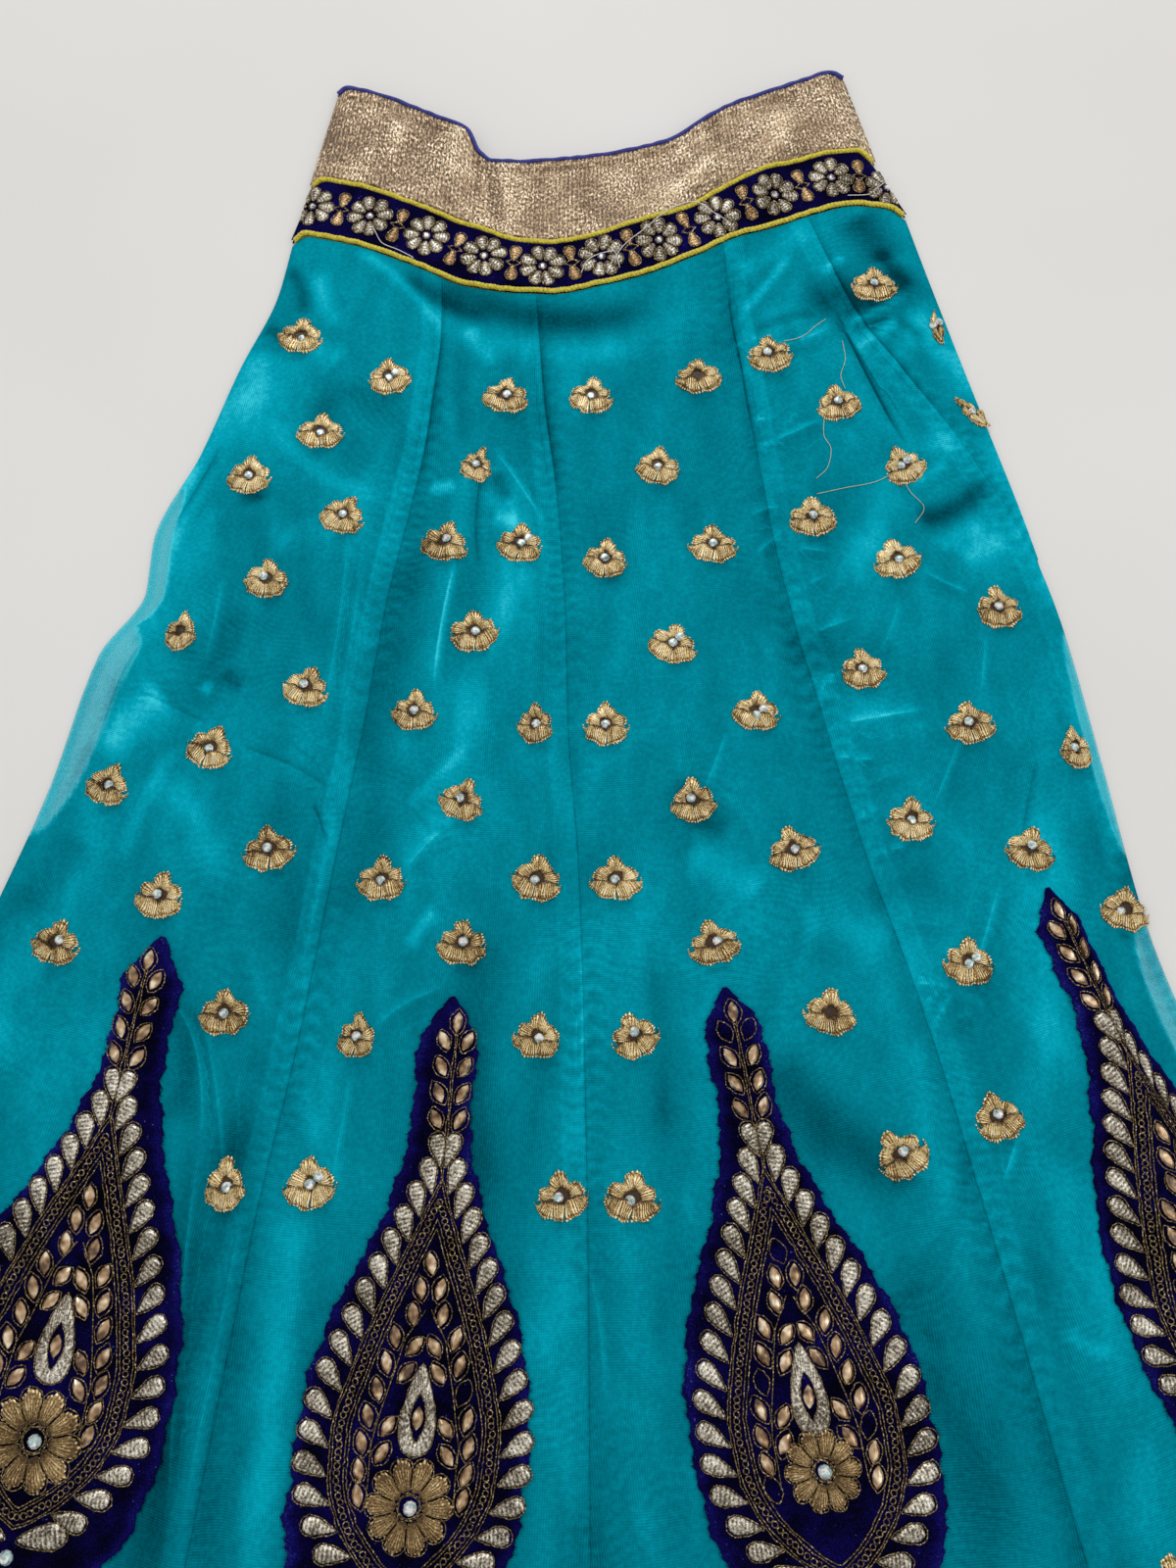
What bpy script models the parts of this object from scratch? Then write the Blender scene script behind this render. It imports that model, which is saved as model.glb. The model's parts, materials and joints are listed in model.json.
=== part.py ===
"""Lehenga skirt lying flat on its back, for Blender 4.5: metres, +Z up, waist towards +Y.

Eight flared gores of turquoise net over a lining hang from a navy flower trim and a gold tissue
waistband. Each piece that is cut and sewn on is one closed wall. The underside is flat at z = 0,
the front is gently folded, and the origin is the middle of the skirt's box, on the floor.
"""

import bmesh
import bpy
import numpy as np

# Walls, cord and the gap that parts neighbouring pieces.
GAP = 0.0003
NET = 0.0012
LINING = 0.0010
BAND = 0.0018
CORD_RADIUS = 0.0015
CORD_SIDES = 1  # Bevel resolution of a piping cord: six sides.

# Heights of the layers over the floor, from the back panel upwards.
BACK_TOP = NET
BACK_LINING_TOP = BACK_TOP + GAP + LINING
FRONT_LINING_TOP = BACK_LINING_TOP + GAP + LINING
BACK_CORD_HEIGHT = CORD_RADIUS + 0.0002
FRONT_TOP = FRONT_LINING_TOP + 0.0005 + NET
EDGE_TOP = BACK_TOP + GAP + NET
BAND_EDGE_TOP = BAND + GAP + BAND
CORD_STANDS_UP = 0.0004

# The cloth lies lowest at its side folds and rises over the layers inside them.
NET_MARGIN = 0.011
LINING_MARGIN = 0.016
LOFT = 0.0022
LOFT_REACH = 0.045
SOFTNESS = 0.0012

# Lengths down the skirt, measured from the waist seam at the centre.
WAIST_TO_ORIGIN = 0.368
SKIRT_LENGTH = 0.904
SEAM_ALLOWANCE = 0.0025
FLAT_SEAM_ALLOWANCE = 0.0032
LINING_SHORTER = 0.025
LINING_BELOW_WAIST = 0.007
TURN_LENGTH = 0.235
WAIST_CURVE_FADES = 0.20

# One row a level: distance down from the waist, the side folds, the three front seams and the seam
# that turns round the right side, all across from the centre line.
SKIRT_COLUMNS = ("down", "left", "seam_1", "seam_2", "seam_3", "side_seam", "right")
SKIRT_ROWS = (
    (0.000, -0.175, -0.081, -0.023, 0.093, 0.145, 0.208),
    (0.040, -0.182, -0.080, -0.020, 0.095, 0.160, 0.218),
    (0.090, -0.201, -0.084, -0.015, 0.102, 0.185, 0.231),
    (0.150, -0.220, -0.093, -0.008, 0.111, 0.227, 0.247),
    (0.210, -0.243, -0.105, -0.004, 0.121, 0.257, 0.263),
    (0.240, -0.244, -0.109, -0.003, 0.127, 0.269, 0.270),
    (0.280, -0.267, -0.114, -0.002, 0.136, 0.279, 0.279),
    (0.360, -0.286, -0.126, 0.004, 0.155, 0.292, 0.292),
    (0.450, -0.315, -0.139, 0.007, 0.180, 0.306, 0.306),
    (0.560, -0.349, -0.157, 0.009, 0.206, 0.342, 0.342),
    (0.680, -0.386, -0.173, 0.010, 0.232, 0.388, 0.388),
    (0.790, -0.420, -0.188, 0.012, 0.258, 0.424, 0.424),
    (0.904, -0.455, -0.204, 0.014, 0.283, 0.455, 0.455),
)

# Each level is an arc that rises from its lowest point to the two side folds.
ARC_LOWEST = -0.020
LEFT_RISE = (0.039, 0.056)
RIGHT_RISE = (0.058, 0.060)

# One row a station across the waist, from the left fold: how far up the three cords lie there.
WAIST_COLUMNS = ("share", "lower", "upper", "top")
WAIST_ROWS = (
    (0.000, 0.407, 0.448, 0.519),
    (0.020, 0.412, 0.452, 0.523),
    (0.050, 0.410, 0.450, 0.521),
    (0.100, 0.405, 0.445, 0.515),
    (0.160, 0.396, 0.436, 0.505),
    (0.220, 0.386, 0.427, 0.496),
    (0.262, 0.378, 0.419, 0.487),
    (0.285, 0.375, 0.416, 0.471),
    (0.310, 0.373, 0.413, 0.466),
    (0.360, 0.370, 0.406, 0.464),
    (0.420, 0.369, 0.404, 0.465),
    (0.500, 0.375, 0.409, 0.468),
    (0.580, 0.384, 0.417, 0.473),
    (0.660, 0.398, 0.427, 0.482),
    (0.720, 0.410, 0.441, 0.497),
    (0.780, 0.417, 0.453, 0.509),
    (0.850, 0.427, 0.463, 0.519),
    (0.920, 0.434, 0.472, 0.529),
    (0.970, 0.432, 0.474, 0.535),
    (1.000, 0.426, 0.466, 0.532),
)
WAIST_ENDS = {"lower": (-0.175, 0.208), "upper": (-0.166, 0.191), "top": (-0.154, 0.176)}

# One row a fold: three points of its line, its height (a trough is negative) and half its width.
FOLD_COLUMNS = ("start", "middle", "end", "height", "half_width")
FOLD_ROWS = (
    # The pleat and crease under the right hip, and the pulls that run out from it.
    ((0.184, 0.345), (0.209, 0.295), (0.222, 0.245), 0.0060, 0.014),
    ((0.161, 0.360), (0.174, 0.320), (0.197, 0.258), -0.0030, 0.007),
    ((0.156, 0.358), (0.115, 0.332), (0.090, 0.290), 0.0025, 0.014),
    ((0.108, 0.224), (0.155, 0.252), (0.200, 0.285), 0.0030, 0.017),
    ((0.120, 0.105), (0.180, 0.130), (0.235, 0.175), 0.0032, 0.019),
    ((0.150, 0.025), (0.195, 0.070), (0.240, 0.120), 0.0028, 0.019),
    # The crease beside the first seam and the loose ridge below it.
    ((-0.074, 0.376), (-0.067, 0.310), (-0.063, 0.258), -0.0022, 0.007),
    ((-0.058, 0.258), (-0.070, 0.190), (-0.082, 0.085), 0.0050, 0.011),
    # Long waves of the left gore.
    ((-0.110, 0.285), (-0.135, 0.150), (-0.168, 0.000), 0.0040, 0.021),
    ((-0.185, 0.335), (-0.205, 0.220), (-0.238, 0.085), 0.0042, 0.021),
    ((-0.238, 0.195), (-0.258, 0.070), (-0.295, -0.085), 0.0045, 0.017),
    # Flutes that run on to the hem.
    ((-0.180, -0.060), (-0.179, -0.330), (-0.187, -0.640), 0.0100, 0.015),
    ((-0.150, -0.080), (-0.143, -0.340), (-0.150, -0.640), 0.0075, 0.015),
    ((-0.035, 0.220), (-0.028, 0.050), (-0.018, -0.110), 0.0030, 0.019),
    ((-0.017, -0.100), (-0.014, -0.360), (-0.012, -0.640), 0.0085, 0.018),
    ((0.029, -0.080), (0.034, -0.350), (0.044, -0.640), 0.0070, 0.018),
    ((0.150, 0.010), (0.212, -0.300), (0.262, -0.640), 0.0085, 0.019),
    ((0.228, -0.080), (0.272, -0.350), (0.325, -0.640), 0.0090, 0.022),
    ((-0.300, -0.110), (-0.330, -0.360), (-0.365, -0.640), 0.0095, 0.022),
    ((-0.345, -0.200), (-0.380, -0.410), (-0.415, -0.640), 0.0085, 0.018),
    ((0.358, -0.180), (0.390, -0.400), (0.420, -0.640), 0.0090, 0.020),
    # The buckle of the waistband and the soft slants across it.
    ((-0.070, 0.500), (-0.066, 0.462), (-0.054, 0.405), 0.0065, 0.010),
    ((-0.050, 0.472), (-0.046, 0.440), (-0.040, 0.400), -0.0040, 0.008),
    ((-0.150, 0.440), (-0.125, 0.470), (-0.105, 0.505), 0.0035, 0.014),
    ((0.010, 0.400), (0.060, 0.428), (0.100, 0.485), 0.0040, 0.014),
    ((0.095, 0.420), (0.125, 0.465), (0.140, 0.515), 0.0038, 0.012),
)
FOLD_FADES = 0.22  # Share of its line over which a fold grows from nothing.
FOLD_STEPS = 14

# The velvet teardrops: how far down each one starts, where it starts and ends across, and how much
# of its right half shows before it turns under the side fold.
APPLIQUE_COLUMNS = ("top", "start", "end", "right_share")
APPLIQUE_ROWS = (
    (0.417, -0.214, -0.259, 1.00),
    (0.427, -0.061, -0.084, 1.00),
    (0.427, 0.080, 0.132, 1.00),
    (0.412, 0.253, 0.363, 0.52),
)
APPLIQUE_LENGTH = 0.312
APPLIQUE_WALL = 0.0012
APPLIQUE_CROWN = 0.0014  # Padding under the stitched middle.
TEARDROP_COLUMNS = ("share", "half_width")
TEARDROP_ROWS = (
    (0.000, 0.0045),
    (0.035, 0.0118),
    (0.070, 0.0150),
    (0.190, 0.0149),
    (0.260, 0.0186),
    (0.325, 0.0250),
    (0.390, 0.0333),
    (0.455, 0.0430),
    (0.520, 0.0502),
    (0.590, 0.0556),
    (0.670, 0.0573),
    (0.750, 0.0567),
    (0.820, 0.0525),
    (0.880, 0.0460),
    (0.930, 0.0345),
    (0.970, 0.0195),
    (1.000, 0.0050),
)
HEM_SPREAD = 0.045  # Half width of the strip that goes on below a teardrop, at the hem.

# Padded flowers and leaf pairs of the trim, by their places along it.
FLOWER_FIRST = 0.019
FLOWER_STEP = 0.0977
FLOWERS = 11
FLOWER_RADIUS = 0.0125
FLOWER_RISE = 0.0022
LEAF_RADIUS = 0.0055
LEAF_RISE = 0.0014
LEAF_SPREAD = 0.24  # Of the trim's height, above and below its middle.

# How finely the walls are divided.
APPLIQUE_LEVELS = 15
LEVELS_ABOVE = 12
LEVELS_BELOW = 6
TURN_LEVELS = 8
BACK_LEVELS = 13
SIDE_CELLS = 3
APPLIQUE_CELLS = 4
WAIST_STATIONS = 41
TRIM_STATIONS = 77
TRIM_CELLS = 6
BAND_CELLS = 4

COLOURS = {
    "turquoise net": ((0.000, 0.300, 0.370), 0.75, 0.0),
    "turquoise lining": ((0.000, 0.230, 0.290), 0.55, 0.0),
    "gold tissue": ((0.420, 0.300, 0.160), 0.38, 0.6),
    "navy velvet": ((0.010, 0.006, 0.130), 0.95, 0.0),
    "navy piping": ((0.012, 0.012, 0.200), 0.70, 0.0),
    "yellow piping": ((0.520, 0.420, 0.020), 0.60, 0.0),
}


def clear_scene():
    for thing in list(bpy.data.objects):
        bpy.data.objects.remove(thing, do_unlink=True)


def cloth_material(name):
    colour, roughness, metallic = COLOURS[name]
    material = bpy.data.materials.get(name)
    if material is None:
        material = bpy.data.materials.new(name)
        material.use_nodes = True
        shader = material.node_tree.nodes["Principled BSDF"]
        shader.inputs["Base Color"].default_value = (*colour, 1.0)
        shader.inputs["Roughness"].default_value = roughness
        shader.inputs["Metallic"].default_value = metallic
    return material


def smooth_table(keys, values):
    """A smooth curve through a table's rows that never swings past them."""
    keys = np.array(keys, float)
    values = np.array(values, float)
    steps = np.diff(keys)
    slopes = np.diff(values) / steps
    tangents = np.concatenate([slopes[:1], np.zeros(len(keys) - 2), slopes[-1:]])
    for row in range(1, len(keys) - 1):
        before, after = slopes[row - 1], slopes[row]
        if before * after > 0:
            tangents[row] = 2 * before * after / (before + after)

    def read(at):
        at = np.clip(at, keys[0], keys[-1])
        row = np.clip(np.searchsorted(keys, at, "right") - 1, 0, len(steps) - 1)
        step = steps[row]
        t = (at - keys[row]) / step
        bend = step * (t**3 - 2 * t**2 + t) * tangents[row]
        bend += step * (t**3 - t**2) * tangents[row + 1]
        blend = 3 * t**2 - 2 * t**3
        return values[row] + (values[row + 1] - values[row]) * blend + bend

    return read


def columns_of(names, rows):
    """Reads every column of a table as a smooth function of its first one."""
    by_column = list(zip(*rows))
    return {name: smooth_table(by_column[0], column) for name, column in zip(names[1:], by_column[1:])}


SKIRT = columns_of(SKIRT_COLUMNS, SKIRT_ROWS)
WAIST = columns_of(WAIST_COLUMNS, WAIST_ROWS)
TEARDROP = columns_of(TEARDROP_COLUMNS, TEARDROP_ROWS)["half_width"]


def ease(share):
    share = np.clip(share, 0.0, 1.0)
    return share * share * (3 - 2 * share)


def level_height(down, across):
    """Where a point lies along Y: its level is an arc, and near the waist it follows the waist seam."""
    left, right = SKIRT["left"](down), SKIRT["right"](down)
    waist_rise = WAIST["lower"]((across - left) / (right - left)) - WAIST_TO_ORIGIN
    depth = down / SKIRT_LENGTH
    left_rise = LEFT_RISE[0] + (LEFT_RISE[1] - LEFT_RISE[0]) * depth
    right_rise = RIGHT_RISE[0] + (RIGHT_RISE[1] - RIGHT_RISE[0]) * depth
    on_left = across < ARC_LOWEST
    reach = np.where(on_left, left - ARC_LOWEST, right - ARC_LOWEST)
    arc = np.where(on_left, left_rise, right_rise) * ((across - ARC_LOWEST) / reach) ** 2
    fade = ease(down / WAIST_CURVE_FADES)
    return WAIST_TO_ORIGIN - down + (1 - fade) * waist_rise + fade * arc


def fold_line(start, middle, end):
    """Points along the curve that starts at start, passes middle and stops at end."""
    start, middle, end = (np.array(point, float) for point in (start, middle, end))
    control = 2 * middle - 0.5 * (start + end)
    t = np.linspace(0.0, 1.0, FOLD_STEPS + 1)[:, None]
    return (1 - t) ** 2 * start + 2 * t * (1 - t) * control + t**2 * end


def fold_height(x, y):
    """The sum of all ridges and troughs over a point, in metres."""
    total = np.zeros(np.shape(x))
    for start, middle, end, height, half_width in FOLD_ROWS:
        line = fold_line(start, middle, end)
        nearest = np.full(np.shape(x), np.inf)
        place = np.zeros(np.shape(x))
        for step in range(FOLD_STEPS):
            run = line[step + 1] - line[step]
            along = ((x - line[step, 0]) * run[0] + (y - line[step, 1]) * run[1]) / run.dot(run)
            along = np.clip(along, 0.0, 1.0)
            distance = np.hypot(x - line[step, 0] - along * run[0], y - line[step, 1] - along * run[1])
            place = np.where(distance < nearest, (step + along) / FOLD_STEPS, place)
            nearest = np.minimum(distance, nearest)
        grown = ease(place / FOLD_FADES) * ease((1 - place) / FOLD_FADES)
        total += height * grown * np.exp(-((nearest / half_width) ** 2))
    return total


def front_height(x, y, from_side, edge_top):
    """Top of the front's cloth: low at the side folds, never lower than the layers under it."""
    wave = (LOFT + fold_height(x, y)) * ease((from_side - NET_MARGIN) / LOFT_REACH)
    wave = SOFTNESS * np.logaddexp(0.0, wave / SOFTNESS) - SOFTNESS * np.log(2.0)
    climb = np.clip(from_side / NET_MARGIN, 0.0, 1.0)
    return edge_top + (FRONT_TOP - edge_top) * climb + np.maximum(wave, 0.0)


def link(thing, collection, material):
    collection.objects.link(thing)
    thing.data.materials.append(cloth_material(material))
    return thing


def cloth_wall(name, collection, material, top, bottom):
    """A closed wall between two grids of points, rows running from the waist down."""
    levels, stations = top.shape[:2]
    mesh = bmesh.new()
    bmesh.ops.create_grid(mesh, x_segments=stations - 1, y_segments=levels - 1, size=1.0)
    bmesh.ops.triangulate(mesh, faces=mesh.faces[:], quad_method="FIXED")
    places = {}
    for vert in mesh.verts:
        station = round((vert.co.x + 1) / 2 * (stations - 1))
        level = round((1 - vert.co.y) / 2 * (levels - 1))
        places[vert] = (level, station)
    under = bmesh.ops.extrude_face_region(mesh, geom=mesh.faces[:], use_keep_orig=True)
    copies = [item for item in under["geom"] if isinstance(item, bmesh.types.BMVert)]
    for vert in copies:
        station = round((vert.co.x + 1) / 2 * (stations - 1))
        level = round((1 - vert.co.y) / 2 * (levels - 1))
        vert.co = top[level, station]
    for vert, (level, station) in places.items():
        vert.co = bottom[level, station]
    bmesh.ops.recalc_face_normals(mesh, faces=mesh.faces[:])
    data = bpy.data.meshes.new(name)
    mesh.to_mesh(data)
    mesh.free()
    data.shade_smooth()
    data.set_sharp_from_angle(angle=np.radians(50))
    return link(bpy.data.objects.new(name, data), collection, material)


def lowered(top, thickness):
    """The same points, moved straight down by a wall's thickness."""
    return top - np.array((0.0, 0.0, 1.0)) * np.reshape(thickness, np.shape(thickness) + (1,))


def applique_edges(gore, down):
    """Left and right edges of the strip that carries a gore's teardrop, at a distance down."""
    top, start, end, right_share = APPLIQUE_ROWS[gore]
    left_seam, right_seam = gore_seams(gore, down)
    middle = (left_seam + right_seam) / 2
    place = (down - top) / APPLIQUE_LENGTH
    drawn = start + (end - start) * place
    middle += (drawn - middle) * ease((down - 0.3 * top) / (0.7 * top))
    width = TEARDROP(place)
    width += (HEM_SPREAD - width) * ease((down - top - APPLIQUE_LENGTH) / 0.10)
    return middle - width, middle + width * right_share


def gore_seams(gore, down):
    names = ("left", "seam_1", "seam_2", "seam_3", "side_seam")
    return SKIRT[names[gore]](down), SKIRT[names[gore + 1]](down)


def gore_stations(gore, down):
    """Where the columns of a front gore lie across, at one level."""
    left, right = gore_seams(gore, down)
    left += GAP / 2 if gore else 0.0
    right -= GAP / 2 if gore < 3 or down < TURN_LENGTH else 0.0
    strip_left, strip_right = applique_edges(gore, down)
    low, high = left, right
    before, after = [left], [right]
    if gore == 0:
        low = left + LINING_MARGIN
        before = [left, left + NET_MARGIN, low]
    if gore == 3:
        high = right - min(LINING_MARGIN, (right - strip_right) / 2)
        after = [high, right - (right - high) * NET_MARGIN / LINING_MARGIN, right]
    before += list(low + (strip_left - low) * np.arange(1, SIDE_CELLS) / SIDE_CELLS)
    after = list(high + (strip_right - high) * np.arange(SIDE_CELLS - 1, 0, -1) / SIDE_CELLS) + after
    strip = strip_left + (strip_right - strip_left) * np.linspace(0, 1, APPLIQUE_CELLS + 1)
    return np.array(before + list(strip) + after)


def gore_levels(gore):
    top = APPLIQUE_ROWS[gore][0]
    foot = top + APPLIQUE_LENGTH
    return np.concatenate([
        np.linspace(SEAM_ALLOWANCE, top, LEVELS_ABOVE + 1)[:-1],
        np.linspace(top, foot, APPLIQUE_LEVELS + 1)[:-1],
        np.linspace(foot, SKIRT_LENGTH, LEVELS_BELOW + 1),
    ])


def skirt_points(levels, stations_at, height_at):
    """A grid of points from its levels, the stations across each one and a height function."""
    across = np.array([stations_at(down) for down in levels])
    down = np.repeat(levels[:, None], across.shape[1], axis=1)
    y = level_height(down, across)
    from_side = np.minimum(across - SKIRT["left"](down), SKIRT["right"](down) - across)
    return np.stack([across, y, height_at(across, y, from_side)], axis=2)


def net_top(x, y, from_side):
    return front_height(x, y, from_side, EDGE_TOP)


def make_front_gores(collection):
    """The four front gores, and on each one its velvet teardrop from the same points."""
    for gore in range(4):
        levels = gore_levels(gore)
        top = skirt_points(levels, lambda down: gore_stations(gore, down), net_top)
        cloth_wall(f"gore_{gore + 1}_front", collection, "turquoise net", top, lowered(top, NET))
        first = 2 + SIDE_CELLS if gore == 0 else SIDE_CELLS
        rows = slice(LEVELS_ABOVE, LEVELS_ABOVE + APPLIQUE_LEVELS + 1)
        carried = top[rows, first:first + APPLIQUE_CELLS + 1]
        under = lowered(carried, -GAP)
        crown = np.outer(
            np.sin(np.linspace(0, np.pi, APPLIQUE_LEVELS + 1)) ** 0.5,
            np.sin(np.linspace(0, np.pi, APPLIQUE_CELLS + 1)) ** 0.5,
        )
        over = lowered(under, -(APPLIQUE_WALL + APPLIQUE_CROWN * crown))
        cloth_wall(f"applique_{gore + 1}", collection, "navy velvet", over, under)


def make_turned_gore(collection):
    """The part of the fifth gore that turns round the right side fold on to the front."""
    levels = np.linspace(SEAM_ALLOWANCE, TURN_LENGTH, TURN_LEVELS)

    def stations(down):
        low, high = SKIRT["side_seam"](down) + GAP / 2, SKIRT["right"](down)
        margin = min(NET_MARGIN, 0.4 * (high - low))
        return np.concatenate([np.linspace(low, high - margin, 5), [high]])

    top = skirt_points(levels, stations, net_top)
    cloth_wall("gore_5_turn", collection, "turquoise net", top, lowered(top, NET))


def make_flat_layer(name, collection, material, margin, shares, levels, low, high):
    """A panel that lies flat between two heights, from one share of the width to another."""

    def stations(down):
        left, right = SKIRT["left"](down) + margin, SKIRT["right"](down) - margin
        width = right - left
        inset = np.array([shares[0] > 0, *[False] * (len(shares) - 2), shares[-1] < 1]) * GAP / 2
        inset[-1] *= -1
        return left + width * np.array(shares) + inset

    top = skirt_points(levels, stations, lambda x, y, from_side: np.full(x.shape, high))
    cloth_wall(name, collection, material, top, lowered(top, high - low))


def make_back(collection):
    levels = np.linspace(FLAT_SEAM_ALLOWANCE, SKIRT_LENGTH, BACK_LEVELS)
    for gore in range(4):
        shares = np.linspace(1 - (gore + 1) / 4, 1 - gore / 4, 5)
        make_flat_layer(f"gore_{gore + 5}_back", collection, "turquoise net", 0.0, shares, levels, 0.0, BACK_TOP)


def make_lining(collection):
    levels = np.linspace(LINING_BELOW_WAIST, SKIRT_LENGTH - LINING_SHORTER, BACK_LEVELS)
    shares = np.linspace(0, 1, 11)
    for name, top in (("lining_back", BACK_LINING_TOP), ("lining_front", FRONT_LINING_TOP)):
        make_flat_layer(name, collection, "turquoise lining", LINING_MARGIN, shares, levels, top - LINING, top)


def waist_line(cord, shares, moved=0.0):
    """The line of one cord across the waist, moved square to itself towards the hem."""
    left, right = WAIST_ENDS[cord]
    line = np.stack([left + (right - left) * shares, WAIST[cord](shares)], axis=1)
    runs = np.diff(line, axis=0)
    runs /= np.linalg.norm(runs, axis=1)[:, None]
    runs = np.concatenate([runs[:1], runs, runs[-1:]])
    square = np.stack([runs[:, 1], -runs[:, 0]], axis=1)
    bisector = square[:-1] + square[1:]
    bisector /= np.linalg.norm(bisector, axis=1)[:, None]
    stretch = np.sum(bisector * square[1:], axis=1)
    return line + moved * bisector / stretch[:, None]


def waist_shares(count):
    """Stations across the waist, with two more at the buckle of the band."""
    return np.sort(np.concatenate([np.linspace(0, 1, count), [0.268, 0.292]]))


def strip_grid(above, below, shares, cells):
    """Points in the plane between two cords, a gap clear of both."""
    clear = CORD_RADIUS + GAP
    high = waist_line(above, shares, clear)
    low = waist_line(below, shares, -clear)
    return np.stack([high + (low - high) * cell for cell in np.linspace(0, 1, cells + 1)])


def raised_flowers(shares, cells):
    """How far the padded flowers and leaf pairs stand up from the trim, over its grid."""
    length = WAIST_ENDS["lower"][1] - WAIST_ENDS["lower"][0]
    height = WAIST["upper"](0.5) - WAIST["lower"](0.5)
    along = shares[None, :] * length
    up = (0.5 - np.linspace(0, 1, cells + 1)[:, None]) * height
    raised = np.zeros((cells + 1, len(shares)))
    for flower in range(FLOWERS):
        middle = (FLOWER_FIRST + FLOWER_STEP * flower) * length
        sites = [(middle, 0.0, FLOWER_RADIUS, FLOWER_RISE)]
        between = middle + FLOWER_STEP * length / 2
        sites += [(between, side * LEAF_SPREAD * height, LEAF_RADIUS, LEAF_RISE) for side in (-1, 1)]
        for x, y, radius, rise in sites:
            inside = 1 - ((along - x) ** 2 + (up - y) ** 2) / radius**2
            raised = np.maximum(raised, rise * np.sqrt(np.maximum(inside, 0.0)))
    return raised


def no_relief(shares, cells):
    return np.zeros((cells + 1, len(shares)))


def make_front_strip(name, collection, material, lines, stations, cells, relief):
    shares = waist_shares(stations)
    plan = strip_grid(*lines, shares, cells)
    x, y = plan[..., 0], plan[..., 1]
    from_side = np.minimum(x - x[:, :1], x[:, -1:] - x)
    z = front_height(x, y, from_side, BAND_EDGE_TOP) + BAND - NET
    z -= (BAND - NET) * (1 - np.clip(from_side / NET_MARGIN, 0, 1))
    plain = np.stack([x, y, z], axis=2)
    cloth_wall(name, collection, material, lowered(plain, -relief(shares, cells)), lowered(plain, BAND))


def make_back_strip(name, collection, material, lines):
    plan = strip_grid(*lines, waist_shares(WAIST_STATIONS), 1)
    top = np.concatenate([plan, np.full(plan.shape[:2] + (1,), BAND)], axis=2)
    cloth_wall(name, collection, material, top, lowered(top, BAND))


def make_cord(name, collection, material, line, heights):
    """A piping cord: a round cord along a line across the waist."""
    data = bpy.data.curves.new(name, "CURVE")
    data.dimensions = "3D"
    data.bevel_depth = CORD_RADIUS
    data.bevel_resolution = CORD_SIDES
    data.use_fill_caps = True
    spline = data.splines.new("POLY")
    spline.points.add(len(line) - 1)
    for point, (x, y), z in zip(spline.points, line, heights):
        point.co = (x, y, z, 1.0)
    return link(bpy.data.objects.new(name, data), collection, material)


def make_waist(collection):
    """The waistband, the flower trim and the three cords that edge them, front and back."""
    band, trim = ("top", "upper"), ("upper", "lower")
    make_front_strip("waistband_front", collection, "gold tissue", band, WAIST_STATIONS, BAND_CELLS, no_relief)
    make_front_strip("trim_front", collection, "navy velvet", trim, TRIM_STATIONS, TRIM_CELLS, raised_flowers)
    make_back_strip("waistband_back", collection, "gold tissue", band)
    make_back_strip("trim_back", collection, "navy velvet", trim)
    for cord, material in (("top", "navy piping"), ("upper", "yellow piping"), ("lower", "yellow piping")):
        shares = waist_shares(WAIST_STATIONS)
        line = waist_line(cord, shares)
        from_side = np.minimum(line[:, 0] - line[0, 0], line[-1, 0] - line[:, 0])
        heights = front_height(line[:, 0], line[:, 1], from_side, FRONT_TOP) + CORD_STANDS_UP
        make_cord(f"{cord}_piping_front", collection, material, line, heights)
        make_cord(f"{cord}_piping_back", collection, material, line, np.full(len(line), BACK_CORD_HEIGHT))


clear_scene()
skirt = bpy.data.collections.new("lehenga_skirt")
bpy.context.scene.collection.children.link(skirt)
make_front_gores(skirt)
make_turned_gore(skirt)
make_back(skirt)
make_lining(skirt)
make_waist(skirt)
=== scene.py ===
"""The finished look of a lehenga skirt lying flat on its back: metres, +Z up, waist towards +Y."""

import json
import math
from functools import cached_property

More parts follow.
